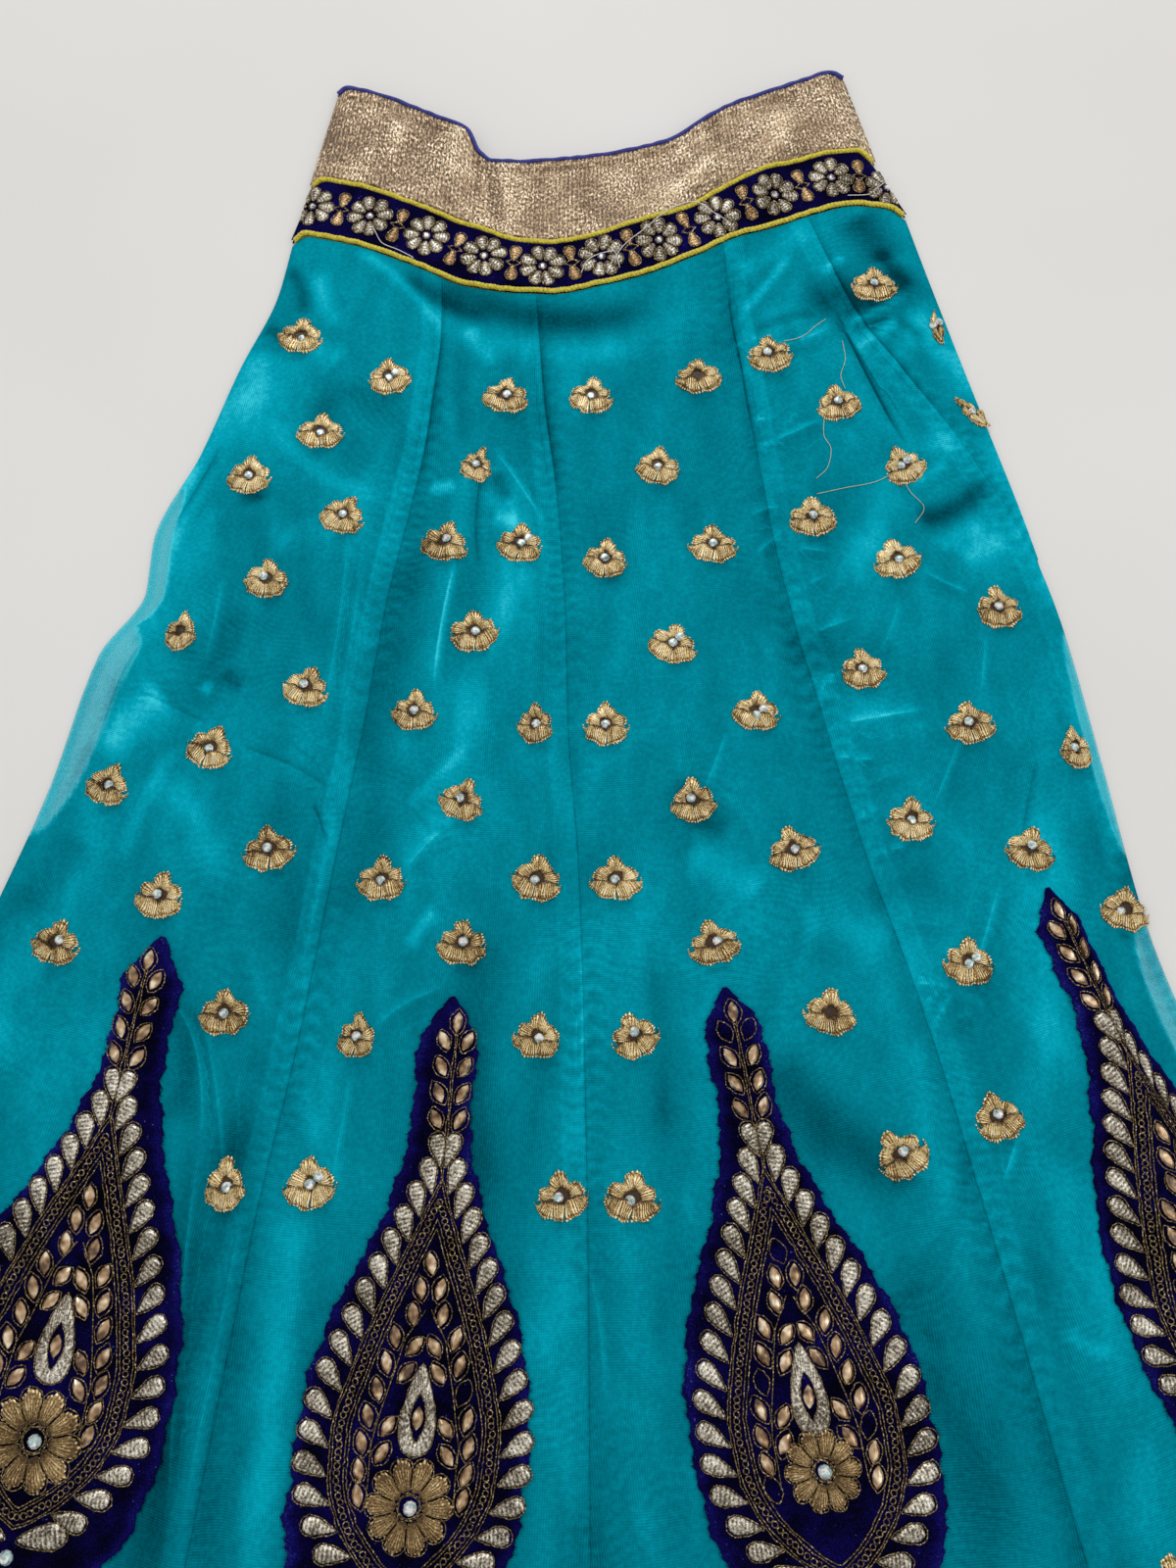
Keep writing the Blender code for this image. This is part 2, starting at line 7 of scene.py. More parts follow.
import bpy
import numpy as np
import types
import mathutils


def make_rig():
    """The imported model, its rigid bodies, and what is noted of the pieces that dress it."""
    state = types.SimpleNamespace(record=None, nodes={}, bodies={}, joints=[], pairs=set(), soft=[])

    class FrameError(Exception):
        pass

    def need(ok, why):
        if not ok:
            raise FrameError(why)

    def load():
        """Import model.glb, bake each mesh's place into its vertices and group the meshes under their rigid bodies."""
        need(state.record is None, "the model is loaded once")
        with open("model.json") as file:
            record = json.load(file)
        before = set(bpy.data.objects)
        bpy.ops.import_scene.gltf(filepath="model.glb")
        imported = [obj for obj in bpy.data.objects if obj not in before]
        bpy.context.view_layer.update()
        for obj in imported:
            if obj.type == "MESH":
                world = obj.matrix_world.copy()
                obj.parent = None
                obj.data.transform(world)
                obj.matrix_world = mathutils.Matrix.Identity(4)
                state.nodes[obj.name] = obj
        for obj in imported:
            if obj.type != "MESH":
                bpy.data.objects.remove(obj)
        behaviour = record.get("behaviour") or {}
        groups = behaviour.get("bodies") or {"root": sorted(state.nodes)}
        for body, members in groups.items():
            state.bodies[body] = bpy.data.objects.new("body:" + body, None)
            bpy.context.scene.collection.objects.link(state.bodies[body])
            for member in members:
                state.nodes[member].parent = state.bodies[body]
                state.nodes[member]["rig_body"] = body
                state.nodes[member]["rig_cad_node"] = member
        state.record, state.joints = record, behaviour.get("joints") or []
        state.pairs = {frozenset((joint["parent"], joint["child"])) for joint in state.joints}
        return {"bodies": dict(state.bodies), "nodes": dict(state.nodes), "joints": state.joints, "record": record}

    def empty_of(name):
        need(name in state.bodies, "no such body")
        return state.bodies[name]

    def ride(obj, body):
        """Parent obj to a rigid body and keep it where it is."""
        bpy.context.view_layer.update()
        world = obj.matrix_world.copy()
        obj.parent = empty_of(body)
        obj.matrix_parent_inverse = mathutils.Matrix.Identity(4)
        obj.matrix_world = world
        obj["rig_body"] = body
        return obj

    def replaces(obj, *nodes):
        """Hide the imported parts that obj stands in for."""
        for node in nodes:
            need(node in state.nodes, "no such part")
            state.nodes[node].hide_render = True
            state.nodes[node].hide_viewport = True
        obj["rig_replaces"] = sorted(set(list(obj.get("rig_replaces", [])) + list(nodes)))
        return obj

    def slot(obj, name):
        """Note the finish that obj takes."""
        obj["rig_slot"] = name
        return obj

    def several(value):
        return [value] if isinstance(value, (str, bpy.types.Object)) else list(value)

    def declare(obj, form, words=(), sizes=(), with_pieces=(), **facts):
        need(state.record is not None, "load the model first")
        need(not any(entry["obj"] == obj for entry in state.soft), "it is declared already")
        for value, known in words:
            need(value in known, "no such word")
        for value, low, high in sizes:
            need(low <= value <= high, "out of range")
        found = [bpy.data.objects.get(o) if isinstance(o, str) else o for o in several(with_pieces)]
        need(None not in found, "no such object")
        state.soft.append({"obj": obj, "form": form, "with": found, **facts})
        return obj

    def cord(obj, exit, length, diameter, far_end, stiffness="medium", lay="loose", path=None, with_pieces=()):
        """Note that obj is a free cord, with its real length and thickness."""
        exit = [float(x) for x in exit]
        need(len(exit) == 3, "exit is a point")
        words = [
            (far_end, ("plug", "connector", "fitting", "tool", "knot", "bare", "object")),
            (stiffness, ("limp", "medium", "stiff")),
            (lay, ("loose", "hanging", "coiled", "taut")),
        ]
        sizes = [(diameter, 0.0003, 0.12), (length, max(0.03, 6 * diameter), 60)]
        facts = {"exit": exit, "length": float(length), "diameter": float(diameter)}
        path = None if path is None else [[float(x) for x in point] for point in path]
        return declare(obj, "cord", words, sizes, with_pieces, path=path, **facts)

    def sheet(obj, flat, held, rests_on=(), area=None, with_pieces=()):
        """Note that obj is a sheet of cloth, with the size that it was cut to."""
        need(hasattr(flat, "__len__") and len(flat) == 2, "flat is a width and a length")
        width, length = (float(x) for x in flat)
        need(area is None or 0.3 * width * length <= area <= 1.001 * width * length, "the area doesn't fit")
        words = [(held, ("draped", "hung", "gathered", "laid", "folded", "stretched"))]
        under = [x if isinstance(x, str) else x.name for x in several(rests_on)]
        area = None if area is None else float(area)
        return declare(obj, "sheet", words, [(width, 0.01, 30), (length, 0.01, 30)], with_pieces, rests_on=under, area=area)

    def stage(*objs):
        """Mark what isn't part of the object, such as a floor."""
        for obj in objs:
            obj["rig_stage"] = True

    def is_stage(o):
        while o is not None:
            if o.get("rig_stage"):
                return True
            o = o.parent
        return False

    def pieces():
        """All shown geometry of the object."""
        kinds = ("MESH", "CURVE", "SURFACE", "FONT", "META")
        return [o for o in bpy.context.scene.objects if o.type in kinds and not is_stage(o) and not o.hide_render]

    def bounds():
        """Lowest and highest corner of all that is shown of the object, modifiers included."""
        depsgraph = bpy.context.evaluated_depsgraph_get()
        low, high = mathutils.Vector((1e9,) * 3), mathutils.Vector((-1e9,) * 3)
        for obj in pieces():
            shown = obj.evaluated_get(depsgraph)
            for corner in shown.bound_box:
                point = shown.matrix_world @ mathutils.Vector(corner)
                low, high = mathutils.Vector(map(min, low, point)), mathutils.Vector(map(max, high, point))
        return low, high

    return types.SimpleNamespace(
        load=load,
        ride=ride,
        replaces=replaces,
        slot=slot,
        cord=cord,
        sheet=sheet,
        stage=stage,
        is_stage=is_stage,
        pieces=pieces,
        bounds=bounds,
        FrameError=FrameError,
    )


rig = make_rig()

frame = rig.load()
solid_box = [list(corner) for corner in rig.bounds()]

# ---- Back gores ----
# Four flared gores of nylon net lie on the table and carry the rest. Each is cut as a tall
# trapezium and run to its neighbours with a narrow seam. The net is a fine square mesh dyed
# turquoise, so that its lines show over the lining.

GAP = 0.0003
NET = 0.0012
WAIST_TO_ORIGIN = 0.368
SKIRT_LENGTH = 0.904
WAIST_CURVE_FADES = 0.2
ARC_LOWEST = -0.02
LEFT_RISE = (0.039, 0.056)
RIGHT_RISE = (0.058, 0.06)
BACK_LEVELS = 130
BACK_STATIONS = 36
BACK_RIPPLE = 0.00025
SKIRT_ROWS = (
    # How far down, then across: the left fold, the seams and the right fold, in millimetres.
    (0, -175, -81, -23, 93, 145, 208), (40, -182, -80, -20, 95, 160, 218),
    (90, -201, -84, -15, 102, 185, 231), (150, -220, -93, -8, 111, 227, 247),
    (210, -243, -105, -4, 121, 257, 263), (240, -244, -109, -3, 127, 269, 270),
    (280, -267, -114, -2, 136, 279, 279), (360, -286, -126, 4, 155, 292, 292),
    (450, -315, -139, 7, 180, 306, 306), (560, -349, -157, 9, 206, 342, 342),
    (680, -386, -173, 10, 232, 388, 388), (790, -420, -188, 12, 258, 424, 424),
    (904, -455, -204, 14, 283, 455, 455),
)
WAIST_ROWS = (
    # Thousandths of the way across, and how far up the lower, upper and top pipings lie.
    (0, 407, 448, 519), (20, 412, 452, 523), (50, 410, 450, 521), (100, 405, 445, 515),
    (160, 396, 436, 505), (220, 386, 427, 496), (262, 378, 419, 487), (285, 375, 416, 471),
    (310, 373, 413, 466), (360, 370, 406, 464), (420, 369, 404, 465), (500, 375, 409, 468),
    (580, 384, 417, 473), (660, 398, 427, 482), (720, 410, 441, 497), (780, 417, 453, 509),
    (850, 427, 463, 519), (920, 434, 472, 529), (970, 432, 474, 535), (1000, 426, 466, 532),
)


def smooth_table(keys, values):
    """A smooth curve through a table's rows that never swings past them."""
    keys, values = np.array(keys, float), np.array(values, float)
    steps = np.diff(keys)
    slopes = np.diff(values) / steps
    tangents = np.concatenate([slopes[:1], np.zeros(len(keys) - 2), slopes[-1:]])
    for row in range(1, len(keys) - 1):
        before, after = slopes[row - 1], slopes[row]
        if before * after > 0:
            tangents[row] = 2 * before * after / (before + after)

    def read(at):
        at = np.clip(at, keys[0], keys[-1])
        row = np.clip(np.searchsorted(keys, at, "right") - 1, 0, len(steps) - 1)
        step = steps[row]
        t = (at - keys[row]) / step
        bend = step * (t**3 - 2 * t**2 + t) * tangents[row] + step * (t**3 - t**2) * tangents[row + 1]
        return values[row] + (values[row + 1] - values[row]) * (3 * t**2 - 2 * t**3) + bend

    return read


def smooth_columns(rows, *names):
    """A curve for each named column of a table in thousandths, over its first column."""
    first, *others = (np.array(rows) / 1000).T
    return {name: smooth_table(first, column) for name, column in zip(names, others)}


skirt_edge = smooth_columns(SKIRT_ROWS, "left", "seam_1", "seam_2", "seam_3", "side_seam", "right")
waist_up = smooth_columns(WAIST_ROWS, "lower", "upper", "top")


def ease(share):
    share = np.clip(share, 0.0, 1.0)
    return share * share * (3 - 2 * share)


def level_height(down, across):
    """How far up the table a point lies, from its distance down the skirt and across it."""
    left, right = skirt_edge["left"](down), skirt_edge["right"](down)
    waist_rise = waist_up["lower"]((across - left) / (right - left)) - WAIST_TO_ORIGIN
    depth = down / SKIRT_LENGTH
    left_rise, right_rise = (top + (hem - top) * depth for top, hem in (LEFT_RISE, RIGHT_RISE))
    on_left = across < ARC_LOWEST
    reach = np.where(on_left, left - ARC_LOWEST, right - ARC_LOWEST)
    arc = np.where(on_left, left_rise, right_rise) * ((across - ARC_LOWEST) / reach) ** 2
    fade = ease(down / WAIST_CURVE_FADES)
    return WAIST_TO_ORIGIN - down + (1 - fade) * waist_rise + fade * arc


def in_scene(name, data):
    thing = bpy.data.objects.new(name, data)
    bpy.context.scene.collection.objects.link(thing)
    return thing


def mesh_object(name, points, faces, finish=None, edges=()):
    """A mesh piece from its points and its faces of three or four corners."""
    data = bpy.data.meshes.new(name)
    edges, faces = ([list(map(int, part)) for part in parts] for parts in (edges, faces))
    data.from_pydata(np.asarray(points, float).tolist(), edges, faces)
    data.shade_smooth()
    if finish:
        data.materials.append(finish)
    return in_scene(name, data)


def mark_points(thing, marks):
    """Gives a piece named values at its points, which are numbers or rows of three."""
    for name, values in marks.items():
        kind, key = ("FLOAT", "value") if np.ndim(values) == 1 else ("FLOAT_VECTOR", "vector")
        layer = thing.data.attributes.new(name, kind, "POINT")
        layer.data.foreach_set(key, np.ascontiguousarray(values, np.float32).ravel())


def grid_faces(rows, columns, close_rows=0, close_columns=0):
    """The faces of a grid of points, which may close up on itself either way."""
    number = np.arange(rows * columns).reshape(rows, columns)
    number = np.pad(number, ((0, close_rows), (0, close_columns)), mode="wrap")
    corners = number[:-1, :-1], number[1:, :-1], number[1:, 1:], number[:-1, 1:]
    return np.stack(corners, axis=-1).reshape(-1, 4)


def cloth_sheet(name, finish, points, weave, thickness, marks, face_down=False):
    """One panel: its shown face, an edge as thick as the cloth and a narrow turning behind it."""
    levels, stations = points.shape[:2]
    number = np.arange(levels * stations).reshape(levels, stations)
    rim = np.concatenate([number[:-1, 0], number[-1, :-1], number[:0:-1, -1], number[0, :0:-1]])
    row, column = np.divmod(rim, stations)
    inside = number[np.clip(row, 1, levels - 2), np.clip(column, 1, stations - 2)]
    edge = number.size + np.arange(len(rim))
    turning = edge + len(rim)
    belts = [
        np.stack([outer, inner, np.roll(inner, -1), np.roll(outer, -1)], axis=1)
        for outer, inner in ((rim, edge), (edge, turning))
    ]
    quads = np.concatenate([grid_faces(levels, stations), *belts])
    source = np.concatenate([number.ravel(), rim, inside])
    flat = points.reshape(-1, 3)[source]
    flat[number.size :] += (0.0, 0.0, thickness if face_down else -thickness)
    thing = mesh_object(name, flat, quads[:, ::-1] if face_down else quads, finish)
    corners = np.empty(len(thing.data.loops), np.int32)
    thing.data.loops.foreach_get("vertex_index", corners)
    places = np.ascontiguousarray(weave.reshape(-1, 2)[source][corners], np.float32)
    thing.data.uv_layers.new(name="weave").data.foreach_set("uv", places.ravel())
    mark_points(thing, {key: values.ravel()[source] for key, values in marks.items()})
    return thing


class Nodes:
    """Adds nodes to a tree; each call gives one output of the new node."""

    def __init__(self, tree):
        self.tree = tree

    def add(self, kind, inputs=None, output=0, **settings):
        node = self.tree.nodes.new(kind)
        for key, value in settings.items():
            setattr(node, key, value)
        for key, value in (inputs or {}).items():
            if isinstance(value, bpy.types.NodeSocket):
                self.tree.links.new(value, node.inputs[key])
            else:
                node.inputs[key].default_value = value
        return node if output is None else node.outputs[output]

    def math(self, operation, *values):
        return self.add("ShaderNodeMath", dict(enumerate(values)), operation=operation)

    def scaled(self, value, factor, more):
        return self.math("MULTIPLY_ADD", value, factor, more)

    def product(self, one, other):
        return self.math("MULTIPLY", one, other)

    def clamp(self, value, low, high):
        return self.add("ShaderNodeClamp", {"Value": value, "Min": low, "Max": high})

    def stretched(self, place, stretch):
        factors = {0: place, 1: (1.0, stretch, 1.0)}
        return self.add("ShaderNodeVectorMath", factors, operation="MULTIPLY")

    def blend(self, tone, *parts):
        """A tone with shares of other values added; a third number is what counts as nothing."""
        for value, share, *nothing in parts:
            value = self.math("SUBTRACT", value, *nothing) if nothing else value
            tone = self.scaled(value, share, tone)
        return tone


class Finish(Nodes):
    """A material, with its shader's constant sockets set."""

    def __init__(self, name, **settings):
        self.material = bpy.data.materials.new(name)
        self.material.use_nodes = True
        super().__init__(self.material.node_tree)
        self.shader = self.tree.nodes["Principled BSDF"]
        for key, value in settings.items():
            self.shader.inputs[key.replace("_", " ")].default_value = value

    @cached_property
    def place(self):
        return self.add("ShaderNodeTexCoord", output="Object")

    def noise(self, scale, detail=2.0, rough=0.5, place=None):
        looks = {"Vector": place or self.place, "Scale": scale, "Detail": detail, "Roughness": rough}
        return self.add("ShaderNodeTexNoise", looks, "Fac")

    def mark(self, name):
        return self.add("ShaderNodeAttribute", output="Fac", attribute_name=name)

    def paint(self, tone, *stops):
        """Colours the surface by a ramp over a tone."""
        ramp = self.add("ShaderNodeValToRGB", {"Fac": tone}, None)
        elements = ramp.color_ramp.elements
        for number, (place, *colour) in enumerate(stops):
            stop = elements[number] if number < 2 else elements.new(place)
            stop.position, stop.color = place, (*colour, 1.0)
        self.tree.links.new(ramp.outputs["Color"], self.shader.inputs["Base Color"])

    def emboss(self, height, distance, strength):
        looks = {"Height": height, "Distance": distance, "Strength": strength}
        self.tree.links.new(self.add("ShaderNodeBump", looks, "Normal"), self.shader.inputs["Normal"])


NET_PITCHES = (("Y", 0.00118), ("X", 0.00125))
GRAIN_PITCH = 0.0046


def net_finish(name, sheerness):
    """Turquoise net: fine lines both ways, a warped grain over the lining, painted highlights and shade over its folds
    and creases, paler where it is sheer and where it stands off the lining.
    """
    sheen = {"Sheen_Weight": 0.06, "Sheen_Roughness": 0.5, "Sheen_Tint": (0.0, 0.72, 0.85, 1.0)}
    net = Finish(name, Roughness=0.66, Specular_IOR_Level=0.0, **sheen)
    weave = net.add("ShaderNodeUVMap", uv_map="weave")
    split = net.add("ShaderNodeSeparateXYZ", {"Vector": weave}, None).outputs
    hung = net.stretched(net.place, 0.45)
    slow, patch, wobble = net.noise(8.0), net.noise(19.0), net.noise(85.0, place=hung)
    drift = net.scaled(slow, 0.006, net.product(wobble, 0.0007))
    lines_down, lines_across = (
        net.math("SINE", net.product(net.math("ADD", split[axis], drift), 2 * math.pi / pitch))
        for axis, pitch in NET_PITCHES
    )
    share = net.clamp(net.scaled(patch, 4.0, -1.45), 0.12, 0.88)
    across = net.product(lines_across, net.math("SUBTRACT", 1.0, share))
    grid = net.math("ADD", net.product(lines_down, share), across)
    phase = net.scaled(patch, 5.0, net.scaled(split["Y"], 1 / GRAIN_PITCH, net.product(slow, 26.0)))
    grain = net.math("SINE", net.product(phase, 2 * math.pi))
    grained = net.clamp(net.scaled(net.noise(13.0, 1.0), 5.0, -2.4), 0.0, 1.0)
    # Crisp lines, each crisp on one side and fading off on the other: painted highlight and shade along creases and
    # pulls, a dark line down the top of each seam and pale lines at its allowance's raw edges.
    off_edge = net.product(net.mark("off_edge"), 1000.0)
    fall = net.math("MAXIMUM", net.math("DIVIDE", off_edge, 2.6), net.math("DIVIDE", off_edge, -0.4))
    crease_light_and_seam_lines = net.math("EXPONENT", net.product(fall, -1.0))
    # The crest mark is painted highlight on the net's ridges and painted shade in its troughs.
    tone = net.blend(
        0.495,
        (grid, 0.07),
        (net.product(crease_light_and_seam_lines, net.mark("edge")), 0.17),
        (net.product(grain, grained), 0.028),
        (net.mark("crest"), 0.065),
        (net.mark("doubled"), 0.075),
    )
    # The lift mark: painted highlight and shade over creases and patches, painted shade towards the hem, and paler net
    # where it stands off the lining.
    lift = net.product(net.mark("lift"), net.scaled(wobble, 0.08, 0.1))
    bare = net.math("SUBTRACT", 1.0, net.mark("cover"))
    tone = net.blend(
        net.math("ADD", lift, tone),
        (slow, 0.26, 0.5),
        (net.noise(36.0, 1.0, place=hung), 0.3, 0.5),
        (wobble, 0.22, 0.5),
        (net.noise(480.0, 1.0), 0.26, 0.5),
        (bare, 0.42),
    )
    net.paint(
        tone,
        (0.0, 0.0001, 0.04, 0.058),
        (0.25, 0.0002, 0.12, 0.165),
        (0.5, 0.0005, 0.225, 0.302),
        (0.75, 0.0012, 0.385, 0.515),
        (1.0, 0.05, 0.66, 0.8),
    )
    net.emboss(grid, 0.00006, 0.5)
    clear = net.product(net.scaled(grid, 0.12, sheerness), bare)
    net.tree.links.new(net.math("SUBTRACT", 1.0, clear), net.shader.inputs["Alpha"])
    return net.material


front_net = net_finish("turquoise_net_front", 0.5)
back_net = net_finish("turquoise_net_back", 0.62)


def panel_points(levels, stations, low_edge, high_edge, height_at, inset=(0.0, 0.0)):
    """A panel's points and weave: levels down the skirt, and stations between two edges."""
    low = low_edge(levels)[:, None] + inset[0]
    high = high_edge(levels)[:, None] + inset[1]
    across = low + (high - low) * np.linspace(0, 1, stations)[None, :]
    down = np.repeat(levels[:, None], stations, axis=1)
    up = level_height(down, across)
    weave = np.stack([across - (low + high) / 2, down], axis=2)
    return np.stack([across, up, height_at(across, up, down)], axis=2), weave


def panel_cut(low_edge, high_edge, length, widest=SKIRT_LENGTH):
    """A panel's flat width where it is widest, its length and its area."""
    levels = np.linspace(0.0, length, 60)
    area = float((high_edge(levels) - low_edge(levels)).mean() * length)
    width = float(np.max(high_edge(widest) - low_edge(widest)))
    return {"flat": (width, length), "held": "laid", "area": area}


def side_distance(across, down):
    return np.minimum(across - skirt_edge["left"](down), skirt_edge["right"](down) - across)


def share_edge(share):
    return lambda down: skirt_edge["left"](down) * (1 - share) + skirt_edge["right"](down) * share


SHEER_ROWS = (
    # Where the net runs out past the lining: side, distances down where that starts, is widest and
    # ends, and how far in it reaches.
    ("left", 0.172, 0.225, 0.266, 0.012),
    ("left", 0.26, 0.276, 0.385, 0.02),
    ("right", 0.28, 0.345, 0.41, 0.006),
    ("right", 0.435, 0.49, 0.575, 0.0125),
)


def sheer_reach(side, down):
    """How far in from a side fold the net is sheer."""
    reach = np.zeros(np.shape(down))
    for at_side, first, widest, last, width in SHEER_ROWS:
        if at_side == side:
            share = (down - widest) / np.where(down < widest, first - widest, last - widest)
            reach = np.maximum(reach, width * np.sqrt(np.clip(1 - share**2, 0, 1)))
    return reach


def cover_of(across, down):
    """1 where lining or a second layer lies behind the net, 0 where it is sheer beside a fold."""
    sheer = np.zeros(np.broadcast(across, down).shape)
    for side in ("left", "right"):
        inward, reach = np.abs(across - skirt_edge[side](down)), sheer_reach(side, down)
        sheer = np.maximum(sheer, ease((reach - inward) / 0.0014 + 0.5) * (reach > 0.001))
    return 1.0 - sheer


def back_height(across, up, down):
    ripple = np.sin(across * 210 + 3 * np.sin(up * 17)) * np.sin(up * 61 + 4 * np.sin(across * 23))
    return 0.0002 + BACK_RIPPLE * (1 + ripple) / 2


for number in range(4):
    near, far = 1 - (number + 1) / 4, 1 - number / 4
    levels = np.linspace(0.0032, SKIRT_LENGTH, BACK_LEVELS)
    edges = share_edge(near), share_edge(far)
    inset = GAP / 2 * (near > 0), -GAP / 2 * (far < 1)
    points, weave = panel_points(levels, BACK_STATIONS, *edges, back_height, inset)
    # The crest mark paints shade where the net's ripples rise off the table and highlight where they sink.
    marks = {
        "crest": -0.6 * (points[..., 2] - 0.0003) / BACK_RIPPLE,
        "doubled": np.exp(-(((weave[..., 0] - weave[:, :1, 0]) / 0.008) ** 2)),
        "cover": cover_of(points[..., 0], weave[..., 1]),
    }
    gore = cloth_sheet(f"net_gore_{number + 5}", back_net, points, weave, 0.0009, marks, face_down=True)
    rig.ride(gore, "root")
    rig.slot(gore, "turquoise_net")
    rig.replaces(gore, f"gore_{number + 5}_back")
    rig.sheet(gore, rests_on=["floor"], **panel_cut(*edges, SKIRT_LENGTH))

# ---- Lining ----
# Two plain panels of thin taffeta, front and back, hung from the waist seam inside the net and cut
# a little narrower and shorter than it.

LINING = 0.001
LINING_LENGTH = SKIRT_LENGTH - 0.025
LINING_LEVELS = 100
LINING_STATIONS = 36
LINING_TOPS = {"lining_back": 0.0025, "lining_front": 0.0038}

taffeta = Finish("turquoise_lining", Roughness=0.5, Sheen_Weight=0.1, Sheen_Tint=(0.0, 0.7, 0.8, 1.0))
looks = {"Vector": taffeta.place, "Scale": 480.0, "Distortion": 1.5}
weave_lines = taffeta.add("ShaderNodeTexWave", looks, "Fac")
tone = taffeta.scaled(weave_lines, 0.18, taffeta.product(taffeta.noise(26.0), 0.8))
taffeta.paint(tone, (0.1, 0.0005, 0.105, 0.14), (0.9, 0.002, 0.215, 0.275))
taffeta.emboss(weave_lines, 0.00004, 0.3)


def inside_edge(side, margin):
    return lambda down: skirt_edge[side](down) + margin


for name, top in LINING_TOPS.items():
    levels = np.linspace(0.007, LINING_LENGTH, LINING_LEVELS)
    edges = inside_edge("left", 0.016), inside_edge("right", -0.016)
    points, weave = panel_points(
        levels,
        LINING_STATIONS,
        *edges,
        lambda across, up, down: top - 0.0001 * (1 + np.sin(across * 120 + 2 * np.sin(up * 30))),
    )
    panel = cloth_sheet(name + "_panel", taffeta.material, points, weave, LINING * 0.8, {})
    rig.ride(panel, "root")
    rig.slot(panel, "turquoise_lining")
    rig.replaces(panel, name)
    under = "net_gore_5" if name == "lining_back" else "lining_back_panel"
    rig.sheet(panel, rests_on=[under], **panel_cut(*edges, LINING_LENGTH))

# ---- Front gores ----
# The same net over the front lining, in four gores and the edge of a fifth that turns round the
# right fold. It lies in loose flutes, a pleat and creases, puckers a little along each seam, and
# shows the narrow double strip of each seam's allowance.

NET_MARGIN = 0.011
LOFT = 0.0022
LOFT_REACH = 0.045
SOFTNESS = 0.0012
FRONT_TOP = 0.0055
EDGE_TOP = 0.0027
FRONT_START = 0.0025
FRONT_LEVELS = 310
FRONT_STATIONS = 102
TURN_STATIONS = 28
TURN_LENGTH = 0.235
FOLD_FADES = 0.22
FOLD_STEPS = 14
FIELD_STEP = 0.0015
FIELD_REACH = (0.475, 0.565)
FOLD_ROWS = (
    # Three points of a fold's line, its height, which is negative for a trough, and half its width, all
    # in millimetres.
    (184, 345, 209, 295, 222, 245, 6, 14), (161, 360, 174, 320, 197, 258, -3, 7),
    (156, 358, 115, 332, 90, 290, 2.5, 14), (108, 224, 155, 252, 200, 285, 3, 17),
    (120, 105, 180, 130, 235, 175, 3.2, 19), (150, 25, 195, 70, 240, 120, 2.8, 19),
    (-74, 376, -67, 310, -63, 258, -2.2, 7), (-58, 258, -70, 190, -82, 85, 5, 11),
    (-110, 285, -135, 150, -168, 0, 4, 21), (-185, 335, -205, 220, -238, 85, 4.2, 21),
    (-238, 195, -258, 70, -295, -85, 4.5, 17), (-180, -60, -179, -330, -187, -640, 10, 15),
    (-150, -80, -143, -340, -150, -640, 7.5, 15), (-35, 220, -28, 50, -18, -110, 3, 19),
    (-17, -100, -14, -360, -12, -640, 8.5, 18), (29, -80, 34, -350, 44, -640, 7, 18),
    (150, 10, 212, -300, 262, -640, 8.5, 19), (228, -80, 272, -350, 325, -640, 9, 22),
    (-300, -110, -330, -360, -365, -640, 9.5, 22), (-345, -200, -380, -410, -415, -640, 8.5, 18),
    (358, -180, 390, -400, 420, -640, 9, 20), (-74, 500, -70, 462, -62, 405, 2, 12),
    (-54, 480, -50, 450, -46, 410, -2.6, 5), (-150, 440, -125, 470, -105, 505, 3.5, 14),
    (10, 400, 60, 428, 100, 485, 4, 14), (95, 420, 125, 465, 140, 515, 3.8, 12),
)
